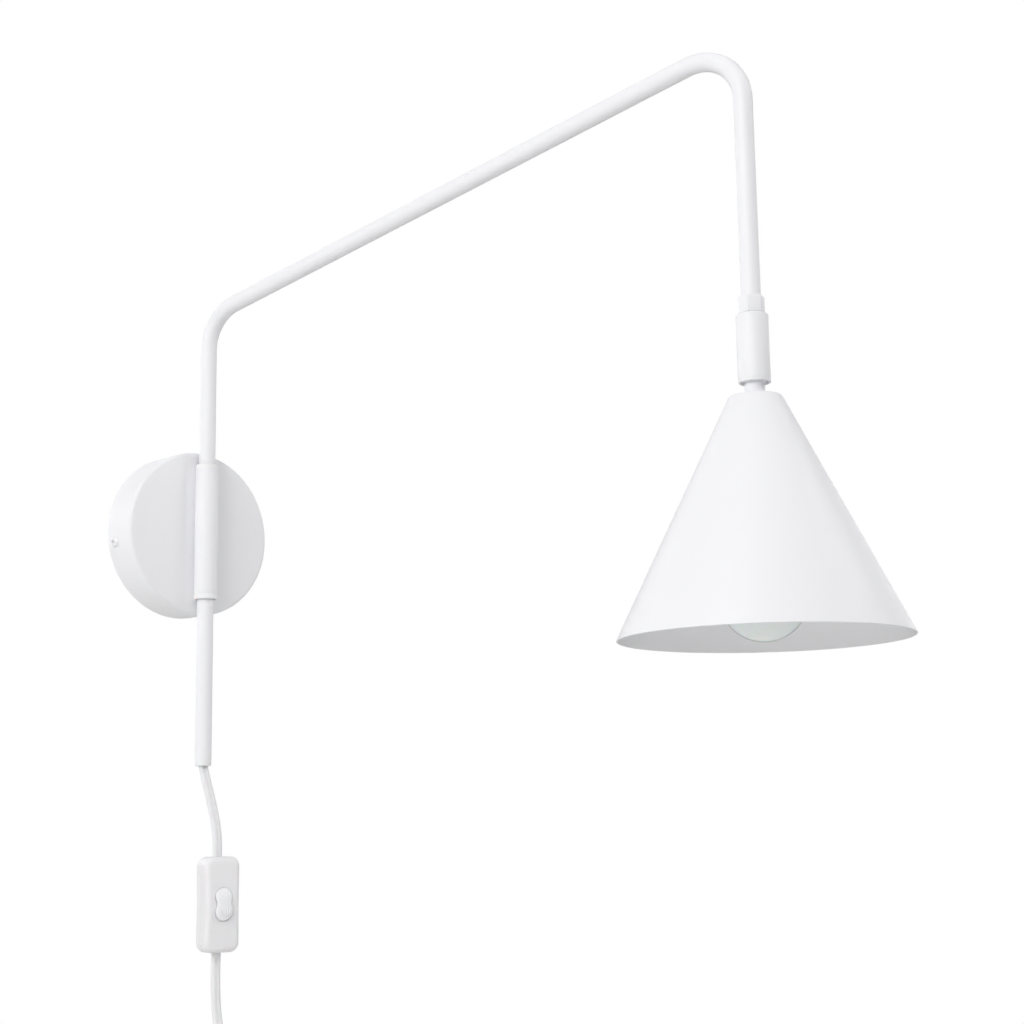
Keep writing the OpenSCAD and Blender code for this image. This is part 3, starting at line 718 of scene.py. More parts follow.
# the twin sheath's outline: two round cores side by side with a groove between
def sheathOutline(steps=12):
    radius = cordMade["thickness"] / 2
    offset = cordMade["width"] / 2 - radius
    open = math.pi - math.acos(offset / radius)
    right = [-open + 2 * open * k / steps for k in range(steps + 1)]
    left = [a + math.pi for a in right[1:-1]]
    return ([(offset + radius * math.cos(a), radius * math.sin(a)) for a in right]
            + [(-offset + radius * math.cos(a), radius * math.sin(a)) for a in left])


# how far along a line each of its points is
def distances(line):
    travelled = [0.0]
    for a, b in zip(line, line[1:]):
        travelled.append(travelled[-1] + (b - a).length)
    return travelled


def makeCord():
    made = cordMade
    route = made["fromTube"] + made["fromSwitch"] + hankLine() + made["toPlug"]
    line = smoothLine(route, 2.5)
    travelled = distances(line)
    twistFrom, twistTo = [next(s for s, p in zip(travelled, line) if p.z < height)
                          for height in made["twist"]]
    switchTop = made["fromTube"][-1][2] - made["insideSwitch"]
    switchLow = made["fromSwitch"][0][2] + made["insideSwitch"]
    outline = sheathOutline()
    parts, rows = [[], []], [[], []]
    for i, (point, s) in enumerate(zip(line, travelled)):
        share = min(1, max(0, (s - twistFrom) / (twistTo - twistFrom)))
        turn = made["switchTurn"] + (made["hankTurn"] - made["switchTurn"]) * share * share * (3 - 2 * share)
        turn = math.radians(turn)
        along = (line[min(i + 1, len(line) - 1)] - line[max(i - 1, 0)]).normalized()
        wide = Vector((math.cos(turn), math.sin(turn), 0))
        wide = (wide - along * wide.dot(along)).normalized()
        flat = along.cross(wide)
        ring = [point + wide * x + flat * y for x, y in outline]
        if s < twistFrom and point.z > switchTop:
            parts[0].append(ring)
            rows[0].append(s)
        elif s >= twistFrom or point.z < switchLow:
            parts[1].append(ring)
            rows[1].append(s)
    mesh = bpy.data.meshes.new("cord")
    points, faces = joined([lofted(part) for part in parts])
    mesh.from_pydata(points, [], faces)
    mesh.transform(Matrix.Scale(mm, 4))
    # the sheath's own map, in metres: x round it, y along it
    girth = [0.0]
    for a, b in zip(outline, outline[1:] + outline[:1]):
        girth.append(girth[-1] + math.dist(a, b) * mm)
    count = len(outline)
    along = [s * mm for row in rows for s in row]
    sheath = mesh.uv_layers.new(name="sheath").data
    for face in mesh.polygons:
        spots = [(mesh.loops[i].vertex_index % count, mesh.loops[i].vertex_index // count)
                 for i in face.loop_indices]
        wraps = any(k == 0 for k, _ in spots) and any(k == count - 1 for k, _ in spots)
        for i, (k, row) in zip(face.loop_indices, spots):
            sheath[i].uv = (girth[count if wraps and k == 0 else k], along[row])
    tidy = bmesh.new()
    tidy.from_mesh(mesh)
    bmesh.ops.recalc_face_normals(tidy, faces=tidy.faces)
    tidy.to_mesh(mesh)
    tidy.free()
    cord = newObject("twin_cord", mesh)
    settled(cord, cordPvc, 60)
    fitted(cord, "arm", "cord_pvc", "cord_upper", "cord_lower", "cord_hank", "cord_tail")
    return cord, [p * mm for p in line], travelled[-1] * mm


cord, cordLine, cordLength = makeCord()
print(f"cord laid, {cordLength:.3f} m")


# a closed line cut into equal steps, starting on the right
def evenly(corners, count):
    line = rounded(corners, True, 14)
    start = max(range(len(line)), key=lambda i: (round(line[i].x, 3), -abs(line[i].y)))
    line = line[start:] + line[:start + 1]
    travelled = distances(line)
    points, i = [], 0
    for k in range(count):
        goal = travelled[-1] * k / count
        while travelled[i + 1] < goal:
            i += 1
        share = (goal - travelled[i]) / max(travelled[i + 1] - travelled[i], 1e-9)
        points.append(line[i].lerp(line[i + 1], share))
    return points


# a rounded rectangle of equal steps; its first point is the middle of the right side
def roundRect(width, height, corner, count):
    w, h, r = width / 2, height / 2, min(corner, width / 2 - 0.01, height / 2 - 0.01)
    return evenly([(w, 0, 0), (w, h, r), (-w, h, r), (-w, -h, r), (w, -h, r)], count)


# the wall canopy: a pressed cup, with holes for two side screws and the sleeve's two screws
canopyMade = {"radius": 51, "depth": 24.4, "sheet": 1.2, "edge": 2.4, "sideHole": 2.1, "sideHoleOut": 8,
              "strapTurn": 9, "sleeveHole": 1.6, "sleeveHoleUp": 24}
outOfWall = turned(90, "X")
strapTurn = turned(-canopyMade["strapTurn"], "Y")


def makeCanopy():
    made = canopyMade
    r, t, depth, edge = made["radius"], made["sheet"], made["depth"], made["edge"]
    outline = rounded([(r - t, 0, 0.3), (r, 0, 0.3), (r, depth, edge), (0, depth, 0),
                       (0, depth - t, 0), (r - t, depth - t, edge - t)])
    canopy = newShape("canopy", [revolved(outline, 192)], outOfWall)
    across = roundBar(made["sideHole"], -r - 2, r + 2, 32)
    lying = moved(0, -made["sideHoleOut"] * mm, 0) @ turned(90, "Y")
    shaped(canopy, [across], "DIFFERENCE", strapTurn @ lying)
    holes = [placed(roundBar(made["sleeveHole"], depth - 4, depth + 2, 32),
                    moved(0, s * made["sleeveHoleUp"], 0)) for s in (-1, 1)]
    shaped(canopy, holes, "DIFFERENCE", outOfWall)
    settled(canopy, powderCoat)
    return fitted(canopy, "wall", "powder_coat", "canopy_cup")


# a domed screw with a cross recess, head up, its seat at height 0
def makeScrew(headWide, headHigh, shank, length):
    dome = (headWide**2 / 4 + headHigh**2) / (2 * headHigh)
    lip = headHigh * 0.22
    outline = [(0, -length), (shank - 0.3, -length), (shank, -length + 0.4), (shank, 0),
               (headWide / 2 - 0.15, 0), (headWide / 2, 0.15), (headWide / 2, lip)]
    for k in range(1, 11):
        x = headWide / 2 * (1 - k / 10)
        rise = math.sqrt(dome**2 - x * x) - (dome - headHigh)
        outline.append((x, lip + (headHigh - lip) * rise / headHigh))
    screw = newShape("screw", [revolved(outline, 40)])
    reachOut, wide, deep = headWide * 0.3, 0.42, headHigh * 0.75
    slot = [(-reachOut, -wide), (reachOut, -wide), (reachOut, wide), (-reachOut, wide)]
    for turn in (0, 90):
        blade = lofted([[(x * s, y * s, h) for x, y in slot]
                        for h, s in ((headHigh - deep, 0.45), (headHigh + 0.3, 1.05))])
        shaped(screw, [blade], "DIFFERENCE", turned(turn, "Z"))
    return screw


# screws at places (in metres), each facing the way given
def setScrews(name, screw, places, finish):
    mesh = bpy.data.meshes.new(name)
    mesh.from_pydata([tuple(p) for p, _ in places], [], [])
    facing = mesh.attributes.new("facing", "FLOAT_VECTOR", "POINT")
    for i, (_, way) in enumerate(places):
        facing.data[i].vector = way
    piece = grown(name, mesh, screwSet, {"Screw": screw, "Finish": finish})
    bpy.data.objects.remove(screw)
    return settled(piece, finish)


def makeCanopyScrews():
    made = canopyMade
    places = []
    for s in (-1, 1):
        spot = strapTurn @ Vector((s * made["radius"] * mm, -made["sideHoleOut"] * mm, 0))
        places.append((spot, strapTurn.to_3x3() @ Vector((s, 0, 0))))
    screws = setScrews("canopy_side_screws", makeScrew(6.8, 2.2, 1.85, 8), places, powderCoat)
    return fitted(screws, "wall", "powder_coat", "canopy_screws")


# the strap under the canopy: a bent strip with wall holes and an ear for each side screw
strapMade = {"halfLength": 48.7, "sheet": 1.5, "width": 18, "earWidth": 14, "earDepth": 14, "bend": 2,
             "holePitch": 60, "hole": 2.5, "earHole": 2.0}


def makeStrap():
    made = strapMade
    a, t, deep, w = made["halfLength"], made["sheet"], made["earDepth"], made["width"] / 2
    path = rounded([(-a, -deep, 0), (-a, 0, made["bend"]), (a, 0, made["bend"]), (a, -deep, 0),
                    (a - t, -deep, 0), (a - t, -t, 0.5), (-a + t, -t, 0.5), (-a + t, -deep, 0)], True, 5)
    strap = newShape("wall_strip", [barOf(path, -w, w)])
    notches = [boxShape((x - 8, -deep - 2, z - 5), (x + 8, -t - 1.5, z + 5))
               for x in (-a, a) for z in (-made["earWidth"] / 2 - 5, made["earWidth"] / 2 + 5)]
    shaped(strap, notches)
    settled(softened(strap, 0.2, 2), zinc)
    holes = [placed(roundBar(made["hole"], -3, 5, 40), moved(s * made["holePitch"] / 2, 0, 0) @ outOfWall)
             for s in (-1, 1)]
    along = moved(0, -canopyMade["sideHoleOut"], 0) @ turned(90, "Y")
    holes.append(placed(roundBar(made["earHole"], -a - 3, a + 3, 40), along))
    shaped(strap, holes)
    strap.data.transform(strapTurn)
    settled(strap, zinc)
    return fitted(strap, "wall", "zinc_steel", "wall_strap")


# the swivel sleeve: a white tube standing against the canopy, with a nylon bush in each end
sleeveMade = {"radius": 7, "bore": 5.4, "half": 42.25, "flange": 3.5, "flat": 0.4, "spigot": 6.1, "depth": 10,
              "running": 5.05, "recess": 6.0, "recessFrom": 40.9, "screwHole": 1.4}


def flatBack():
    made = sleeveMade
    return boxShape((-10, made["radius"] - made["flat"], -60), (10, made["radius"] + 5, 60))


def makeSleeve():
    made = sleeveMade
    r, bore, spigot = made["radius"], made["bore"], made["spigot"]
    end = made["half"] - made["flange"]
    step = end - made["depth"]
    outline = rounded([(r, -end, 0.25), (r, end, 0.25), (spigot, end, 0), (spigot, step, 0), (bore, step, 0),
                       (bore, -step, 0), (spigot, -step, 0), (spigot, -end, 0)])
    sleeve = newShape("sleeve", [revolved(outline, 96)], atPost())
    holes = [placed(roundBar(made["screwHole"], -9, -4, 32),
                    moved(0, 0, s * canopyMade["sleeveHoleUp"]) @ outOfWall) for s in (-1, 1)]
    shaped(sleeve, [flatBack()], "DIFFERENCE", atPost())
    shaped(sleeve, holes, "DIFFERENCE", atPost())
    settled(sleeve, powderCoat)
    return fitted(sleeve, "wall", "powder_coat", "sleeve_tube")


def makeEndBush(name, side, node):
    made = sleeveMade
    low = made["half"] - made["flange"]
    foot, spigot = low - made["depth"] + 0.1, made["spigot"] - 0.02
    outline = rounded([(made["running"], foot, 0.2), (spigot, foot, 0.3), (spigot, low, 0),
                       (made["radius"], low, 0.12),
                       (made["radius"], made["half"], 0.6), (made["recess"], made["half"], 0.15),
                       (made["recess"], made["recessFrom"], 0), (made["running"], made["recessFrom"], 0)])
    outline = [(r, h * side) for r, h in outline]
    bush = newShape(name, [revolved(outline, 96)], atPost())
    shaped(bush, [flatBack()], "DIFFERENCE", atPost())
    settled(bush, nylon)
    return fitted(bush, "wall", "white_nylon", node)


makeCanopy()
makeCanopyScrews()
makeStrap()
makeSleeve()
makeEndBush("bush_top", 1, "upper_bush")
makeEndBush("bush_foot", -1, "lower_bush")
print("wall parts made")

# the arm: one tube with two bends, a white bush in its foot and a hexagon at the drop's end
armMade = {"radius": 5, "wall": 1, "foot": -140.6, "knee": 138.5, "highKnee": 217.5, "dropEnd": 78.6,
           "bend": 27, "grubHole": 1.5, "grubHeight": -48}
outletMade = {"low": -144, "step": -140.6, "top": -132.6, "radius": 4.95, "spigot": 3.98, "hole": 3.1}
hexMade = {"acrossFlats": 12, "low": 70.0, "high": 78.6, "turn": -20, "bevel": 0.35, "bore": 2.9, "stem": 4.5,
           "stemLow": 59.4, "spigot": 3.95, "spigotHigh": 89.6}
armTurn = Matrix.Rotation(armHeading, 4, "Z")


def makeArm():
    made = armMade
    line = [(0, 0, made["foot"] * mm), (0, 0, made["knee"] * mm), (reach, 0, made["highKnee"] * mm),
            (reach, 0, made["dropEnd"] * mm)]
    base = bpy.data.meshes.new("armLine")
    base.from_pydata(line, [(0, 1), (1, 2), (2, 3)], [])
    arm = grown("arm", base, bentTube, {
        "Bend Radius": made["bend"] * mm, "Bend Steps": 28, "Tube Radius": made["radius"] * mm, "Sides": 72,
        "Finish": powderCoat})
    tidyMesh(arm.data)
    wall = arm.modifiers.new("Wall", "SOLIDIFY")
    wall.thickness = made["wall"] * mm
    wall.offset = -1
    settled(arm, powderCoat)
    hole = placed(roundBar(made["grubHole"], 2, 8, 32),
                  moved(0, 0, made["grubHeight"]) @ turned(90, "Y"))
    shaped(arm, [hole])
    arm.data.transform(atPost() @ armTurn)
    settled(arm, powderCoat)
    return fitted(arm, "arm", "powder_coat", "arm_tube")


def makeOutlet():
    made = outletMade
    outline = rounded([(made["hole"], made["low"], 0.35), (made["radius"], made["low"], 0.9),
                       (made["radius"], made["step"], 0.12), (made["spigot"], made["step"], 0),
                       (made["spigot"], made["top"], 0), (made["hole"], made["top"], 0)])
    return spun("outlet", outline, 72, atPost(), nylon, "arm", "white_nylon", "outlet_bush")


def makeHexagon():
    made = hexMade
    out = made["acrossFlats"] / 2 / math.cos(math.radians(30))
    angles = [math.radians(60 * k) for k in range(6)]
    corners = [(out * math.cos(a), out * math.sin(a)) for a in angles]
    hexagon = newShape("drop_hexagon", [barOf(corners, made["low"], made["high"])])
    settled(softened(hexagon, made["bevel"]), powderCoat)
    shaped(hexagon, [roundBar(made["bore"], made["low"] - 2, made["high"] + 2, 48)])
    shoulder = made["low"] + 1
    inside = [(made["bore"], made["stemLow"]), (made["stem"], made["stemLow"]), (made["stem"], shoulder),
              (made["spigot"], shoulder), (made["spigot"], made["spigotHigh"]),
              (made["bore"], made["spigotHigh"])]
    shaped(hexagon, [revolved(inside, 48)], "UNION")
    hexagon.data.transform(atDrop() @ armTurn @ turned(made["turn"], "Z"))
    settled(hexagon, powderCoat, 20)
    return fitted(hexagon, "arm", "powder_coat", "hex_fitting")


makeArm()
makeOutlet()
makeHexagon()
print("arm parts made")

# the ball joint and its stud
headMade = {"radius": 8.2, "top": 69.4, "seam": 35.5, "mouth": 34, "chamber": 6.9, "chamberTop": 62.4,
            "thread": 7.2, "threadTop": 38.5, "stemHole": 4.55, "ball": 6.8, "ballHeight": 38.5,
            "running": 0.05, "neck": 5.1, "tilt": 20, "bore": 2.8, "studThread": 4, "studLow": 13.2}


def makeHousing():
    made = headMade
    outline = rounded([(made["thread"], made["seam"], 0), (made["radius"], made["seam"], 0.28),
                       (made["radius"], made["top"], 1.0), (made["stemHole"], made["top"], 0.2),
                       (made["stemHole"], made["chamberTop"], 0), (made["chamber"], made["chamberTop"], 0),
                       (made["chamber"], made["threadTop"], 0), (made["thread"], made["threadTop"], 0)])
    return spun("joint_cup", outline, 96, atDrop(), powderCoat, "head", "powder_coat", "joint_housing")


def makeSocketRing():
    made = headMade
    seat = made["ball"] + made["running"]
    lean = math.radians(made["tilt"])
    lipAngle = math.asin(made["neck"] / made["ball"]) + lean + math.radians(1)
    mouth = made["neck"] / math.cos(lean) + (made["ballHeight"] - made["mouth"]) * math.tan(lean) + 0.1
    outline = rounded([(mouth, made["mouth"], 0), (made["radius"], made["mouth"], 0.6),
                       (made["radius"], made["seam"], 0.28), (made["thread"] - 0.02, made["seam"], 0),
                       (made["thread"] - 0.02, made["ballHeight"] - 0.6, 0)])
    # the seat follows the ball down to the lip
    start = math.radians(85)
    for k in range(9):
        a = start + (lipAngle - start) * k / 8
        outline.append(Vector((seat * math.sin(a), made["ballHeight"] - seat * math.cos(a))))
    return spun("joint_ring", outline, 96, atDrop(), powderCoat, "head", "powder_coat", "socket_ring")


shadeMade = {"top": 27.2, "rim": -94.5, "rimRadius": 73, "lean": 26.2, "shoulder": 2.5, "sheet": 0.9,
             "rimEdge": 0.4}


def makeBallStud():
    made, top = headMade, shadeMade["top"]
    ball, height = made["ball"], made["ballHeight"]
    outline = rounded([(made["bore"], made["studLow"], 0), (made["studThread"], made["studLow"], 0.4),
                       (made["studThread"], top, 0), (made["neck"], top, 0)])
    low, high = math.asin(made["neck"] / ball), math.pi - math.asin(made["bore"] / ball)
    for k in range(33):
        a = low + (high - low) * k / 32
        outline.append(Vector((ball * math.sin(a), height - ball * math.cos(a))))
    return spun("ball_and_neck", outline, 96, atDrop(), powderCoat, "shade", "powder_coat", "ball_stud")


def makeShade():
    made = shadeMade
    slant = math.tan(math.radians(made["lean"]))
    topRadius = made["rimRadius"] - (made["top"] - made["rim"]) * slant
    across = made["sheet"] / math.cos(math.radians(made["lean"]))
    underTop = made["top"] - made["sheet"]
    innerTop = made["rimRadius"] - across - (underTop - made["rim"]) * slant
    hole = headMade["studThread"] + 0.1
    outline = rounded([(hole, made["top"], 0), (topRadius, made["top"], made["shoulder"]),
                       (made["rimRadius"], made["rim"], made["rimEdge"]),
                       (made["rimRadius"] - across, made["rim"], made["rimEdge"]),
                       (innerTop, underTop, made["shoulder"] - made["sheet"]), (hole, underTop, 0)])
    return spun("shade", outline, 240, atDrop(), powderCoat, "shade", "powder_coat", "shade_cone")


makeHousing()
makeSocketRing()
makeBallStud()
makeShade()
print("head and shade made")

# lampholder and bulb
holderMade = {"radius": 13.5, "top": 20.2, "split": -3, "mouth": -39.5, "shell": 8.3, "seat": -16.6,
              "wall": 1.8, "ribs": 36, "ribDeep": 0.5}
bulbMade = {"globe": 22.5, "middle": -73.5, "glass": 1, "cut": 42, "capLow": -37.5, "capTop": -20.5,
            "tip": -18, "capRoot": 6.35, "thread": 0.75, "pitch": 2.8, "neck": 7.4}


def makeHolder():
    made, r = holderMade, holderMade["radius"]
    stud = headMade["studThread"] + 0.05
    inner = r - made["wall"]
    cap = rounded([(stud, made["top"], 0.3), (7, made["top"], 0.8), (r - 1, made["top"] - 12, 2),
                   (r, made["top"] - 15, 1), (r, made["split"], 0.25), (inner, made["split"], 0),
                   (inner, made["top"] - 15, 0), (6, made["top"] - 8, 0), (stud, made["top"] - 8, 0)])
    spun("holder_crown", cap, 96, atDrop(), holderPlastic, "shade", "holder_plastic", "holder_cap")
    root = r - made["ribDeep"]
    skirt = rounded([(made["shell"], made["mouth"], 0.4), (root, made["mouth"], 0.8),
                     (root, made["split"] - 4, 0.2), (r, made["split"] - 3.5, 0),
                     (r, made["split"], 0.25), (inner - 0.1, made["split"], 0),
                     (inner - 0.1, made["seat"], 0), (made["shell"], made["seat"], 0)])
    body = newShape("holder_skirt", [revolved(skirt, 144)])
    # one upright rib, copied round the skirt
    low, high = made["mouth"] + 2.5, made["split"] - 6
    rings = []
    for h, s in ((low, 0.3), (low + 1, 1), (high - 1, 1), (high, 0.3)):
        out = made["ribDeep"] * s
        rings.append([(-0.4, -0.45 * s, h), (out, -0.2 * s, h), (out, 0.2 * s, h), (-0.4, 0.45 * s, h)])
    rib = newShape("rib", [lofted(rings)])
    merged(body, copied("ribs", rib, shapeRound, {"Count": made["ribs"], "Radius": root * mm,
                                                  "Finish": holderPlastic}))
    body.data.transform(atDrop())
    settled(body, holderPlastic)
    fitted(body, "shade", "holder_plastic", "holder_body")


def makeBulb():
    made, top = bulbMade, bulbMade["middle"]
    outer, inner = made["globe"], made["globe"] - made["glass"]
    cut = math.radians(made["cut"])
    outline = []
    for radius, first, last in ((outer, 0.0, math.pi - cut), (inner, math.pi - cut - 0.03, 0.0)):
        for k in range(57):
            a = first + (last - first) * k / 56
            outline.append(Vector((radius * math.sin(a), top - radius * math.cos(a))))
    spun("bulb_glass", outline, 144, atDrop(), opalGlass, "shade", "opal_glass", "bulb_globe")
    low = top + outer * math.cos(cut) + 0.05
    wide = outer * math.sin(cut)
    neck, shoulder, neckTop = made["neck"], holderMade["mouth"] - 0.6, made["capLow"] - 0.05
    section = rounded([(wide - 2.2, low, 0.2), (wide, low, 0.3), (wide - 0.6, low + 3, 1.2),
                       (neck + 1.6, shoulder, 0.4), (neck, shoulder, 0), (neck, neckTop, 0.2),
                       (neck - 2, neckTop, 0)])
    spun("bulb_neck", section, 96, atDrop(), holderPlastic, "shade", "holder_plastic", "bulb_collar")
    # the rolled thread: the radius waves once a pitch and once a turn
    rings, sides = [], 72
    for k in range(69):
        h = made["capLow"] + (made["capTop"] - made["capLow"]) * k / 68
        fade = min(1, max(0, (h - made["capLow"] - 3) / 2))
        fade *= min(1, max(0, (made["capTop"] - h - 1) / 2))
        ring = []
        for n in range(sides):
            a = 2 * math.pi * n / sides
            wave = (1 + math.cos(2 * math.pi * h / made["pitch"] - a)) / 2
            r = made["capRoot"] + made["thread"] * wave * fade
            r -= max(0, h - made["capTop"] + 1) * 0.6
            ring.append((r * math.cos(a), r * math.sin(a), h))
        rings.append(ring)
    top = made["capTop"]
    rings += [circleAt(r, h, sides) for r, h in ((4.5, top), (4.5, top - 0.7), (5.6, top - 1.2),
                                                 (5.6, made["capLow"]))]
    screwCap = newShape("bulb_thread", [lofted(rings, closed=True)], atDrop())
    settled(screwCap, nickel, 50)
    fitted(screwCap, "shade", "cap_steel", "bulb_cap")
    dot = rounded([(0, made["capTop"] - 1, 0), (2.2, made["capTop"] - 1, 0), (2.2, made["tip"] - 0.6, 0.5),
                   (1.2, made["tip"], 0.5), (0, made["tip"], 0)])
    spun("bulb_solder", dot, 48, atDrop(), tin, "shade", "cap_steel", "bulb_tip")


makeHolder()
makeBulb()
print("holder and bulb made")

# the inline switch: two moulded halves with waisted sides and a crowned face, and a peanut-shaped rocker
switchMade = {"place": (6.6, -37.6, -226), "turn": -11, "width": 22.5, "length": 56, "front": 10.35,
              "back": 7.15, "corner": 5.6, "waist": 0.7, "crown": 1.3, "edge": 3.0, "sheet": 1.6,
              "slotWide": 6.4, "slotThick": 4.2, "screwUp": 20, "points": 168}
rockerMade = {"pivot": -6.35, "length": 19, "lobe": 5.2, "waist": 8.2, "face": 6.2, "drop": 1.3, "flat": 2.4,
              "tilt": -8, "edge": 0.7, "ribs": 5, "pitch": 1.45, "gapWide": 0.2, "gapLong": 0.45,
              "arc": 10.45, "bow": 0.55}


def atSwitch():
    return atPlace(switchMade["place"]) @ turned(switchMade["turn"], "Z")


# a point of the crowned face, which falls away towards the ends
def crowned(x, z, depth):
    return x, -(depth - switchMade["crown"] * (2 * z / switchMade["length"]) ** 2), z


# one ring of the switch's skin: drawn in by inset, at a depth from the split plane
def switchRing(inset, depth, follow, waist=1.0):
    made = switchMade
    half = made["length"] / 2
    ring = []
    for p in roundRect(made["width"] - 2 * inset, made["length"] - 2 * inset, made["corner"] - inset * 0.8,
                       made["points"]):
        pull = made["waist"] * waist * math.cos(math.pi * p.y / made["length"]) ** 2
        x = p.x - math.copysign(pull, p.x) * min(1, abs(p.x) / (made["width"] / 2 - inset))
        ring.append((x, -(depth - follow * made["crown"] * (p.y / half) ** 2), p.y))
    return ring


def mixRings(first, second, share):
    return [tuple(Vector(a).lerp(Vector(b), share)) for a, b in zip(first, second)]


def switchSkin(depth, opening=False):
    made = switchMade
    edge, sheet = made["edge"], made["sheet"]
    rings = [switchRing(0.25, 0, 0), switchRing(0.06, 0.06, 0), switchRing(0, 0.25, 0)]
    for k in range(9):
        a = math.pi / 2 * k / 8
        inset, height = edge * (1 - math.cos(a)), depth - edge + edge * math.sin(a)
        rings.append(switchRing(inset, height, 1, 1 - 0.3 * k / 8))
    rim = rings[-1]
    floor = switchRing(sheet, depth - sheet, 1)
    floor = [(x, y, z * (1 - 3 / made["length"])) for x, y, z in floor]
    if not opening:
        centre = [(x * 0.04, -depth, z * 0.04) for x, _, z in rim]
        for share in (0.2, 0.4, 0.6, 0.8, 1.0):
            rings.append([crowned(x, z, depth) for x, _, z in mixRings(rim, centre, share)])
        inner = [(x * 0.05, -(depth - sheet), z * 0.05) for x, _, z in floor]
        return rings, [inner, mixRings(inner, floor, 0.5), floor, [(x, 0, z) for x, _, z in floor]]

    def lipRing(extra, drop, behind=0.0):
        across, along = rockerMade["gapWide"] + extra, rockerMade["gapLong"] + extra + behind
        line = evenly([(x, z, 0) for x, z in peanut(across, along)], made["points"])
        return [crowned(p.x, p.y, depth - drop) for p in line]

    outerLip = lipRing(0.35, 0)
    for share in (0.15, 0.35, 0.55, 0.78, 1.0):
        rings.append([crowned(x, z, depth) for x, _, z in mixRings(rim, outerLip, share)])
    rings += [lipRing(0.1, 0.08), lipRing(0, 0.35), lipRing(0, sheet, 0.65)]
    return rings, [mixRings(rings[-1], floor, 0.5), floor, [(x, 0, z) for x, _, z in floor]]


def cordSlot():
    made = switchMade
    outline = [(p.x, p.y) for p in roundRect(made["slotWide"], made["slotThick"], 2.05, 48)]
    return barOf(outline, -made["length"], made["length"])


def makeSwitchCase():
    made, half = switchMade, switchMade["back"]
    outer, inner = switchSkin(made["front"], True)
    front = newShape("switch_face", [lofted(outer + inner, closed=True)])
    shaped(front, [cordSlot()])
    front.data.transform(atSwitch())
    settled(front, switchAbs)
    fitted(front, "arm", "switch_abs", "switch_front")
    outer, inner = switchSkin(half)
    mirrored = turned(180, "Z")
    back = newShape("switch_rear", [placed(lofted(outer), mirrored)])
    cavity = list(reversed(inner[:-1]))
    cavity.insert(0, [(x, 1, z) for x, _, z in inner[-1]])
    shaped(back, [placed(lofted(cavity), mirrored)])
    lying = turned(-90, "X")
    for s in (-1, 1):
        spot = moved(0, 0, s * made["screwUp"]) @ lying
        shaped(back, [placed(roundBar(4.2, 2.2, 8.0, 48), spot)], "UNION")
        shaped(back, [placed(roundBar(3, half - 1.8, half + 2, 48), spot)])
        shaped(back, [placed(roundBar(1.6, 1, half, 32), spot)])
    shaped(back, [cordSlot()])
    back.data.transform(atSwitch())
    settled(back, switchAbs)
    fitted(back, "arm", "switch_abs", "switch_back")
    screw = makeScrew(5.4, 1.5, 1.35, 4.5)
    places = [(atSwitch() @ Vector((0, (half - 1.75) * mm, s * made["screwUp"] * mm)),
               atSwitch().to_3x3() @ Vector((0, 1, 0))) for s in (-1, 1)]
    screws = setScrews("switch_case_screws", screw, places, zinc)
    fitted(screws, "arm", "zinc_steel", "switch_screws")
    return front, back, screws


# the rocker's outline, larger by a gap across and along: two round lobes with a waist between
def peanut(across=0.0, along=0.0):
    made = rockerMade
    lobe, bulge = made["lobe"], made["length"] / 2 - made["lobe"]
    wide = lobe + across
    right = []
    for k in range(17):  # from the middle of the right side up to the lobe
        z = bulge * k / 16
        dip = (lobe - made["waist"] / 2) * (1 + math.cos(math.pi * z / bulge)) / 2
        right.append((wide - dip, z))
    for k in range(1, 21):
        a = math.pi / 2 * k / 20
        right.append((wide * math.cos(a), bulge + (lobe + along) * math.sin(a)))
    left = [(-x, z) for x, z in reversed(right[:-1])]
    upper = right + left
    return upper + [(-x, -z) for x, z in upper[1:-1]]


# how far the rocker's face falls away towards its ends
def rockerFace(z):
    made = rockerMade
    past = max(0, abs(z) - made["flat"]) / (made["length"] / 2 - made["flat"])
    return -made["face"] + made["drop"] * past ** 1.6


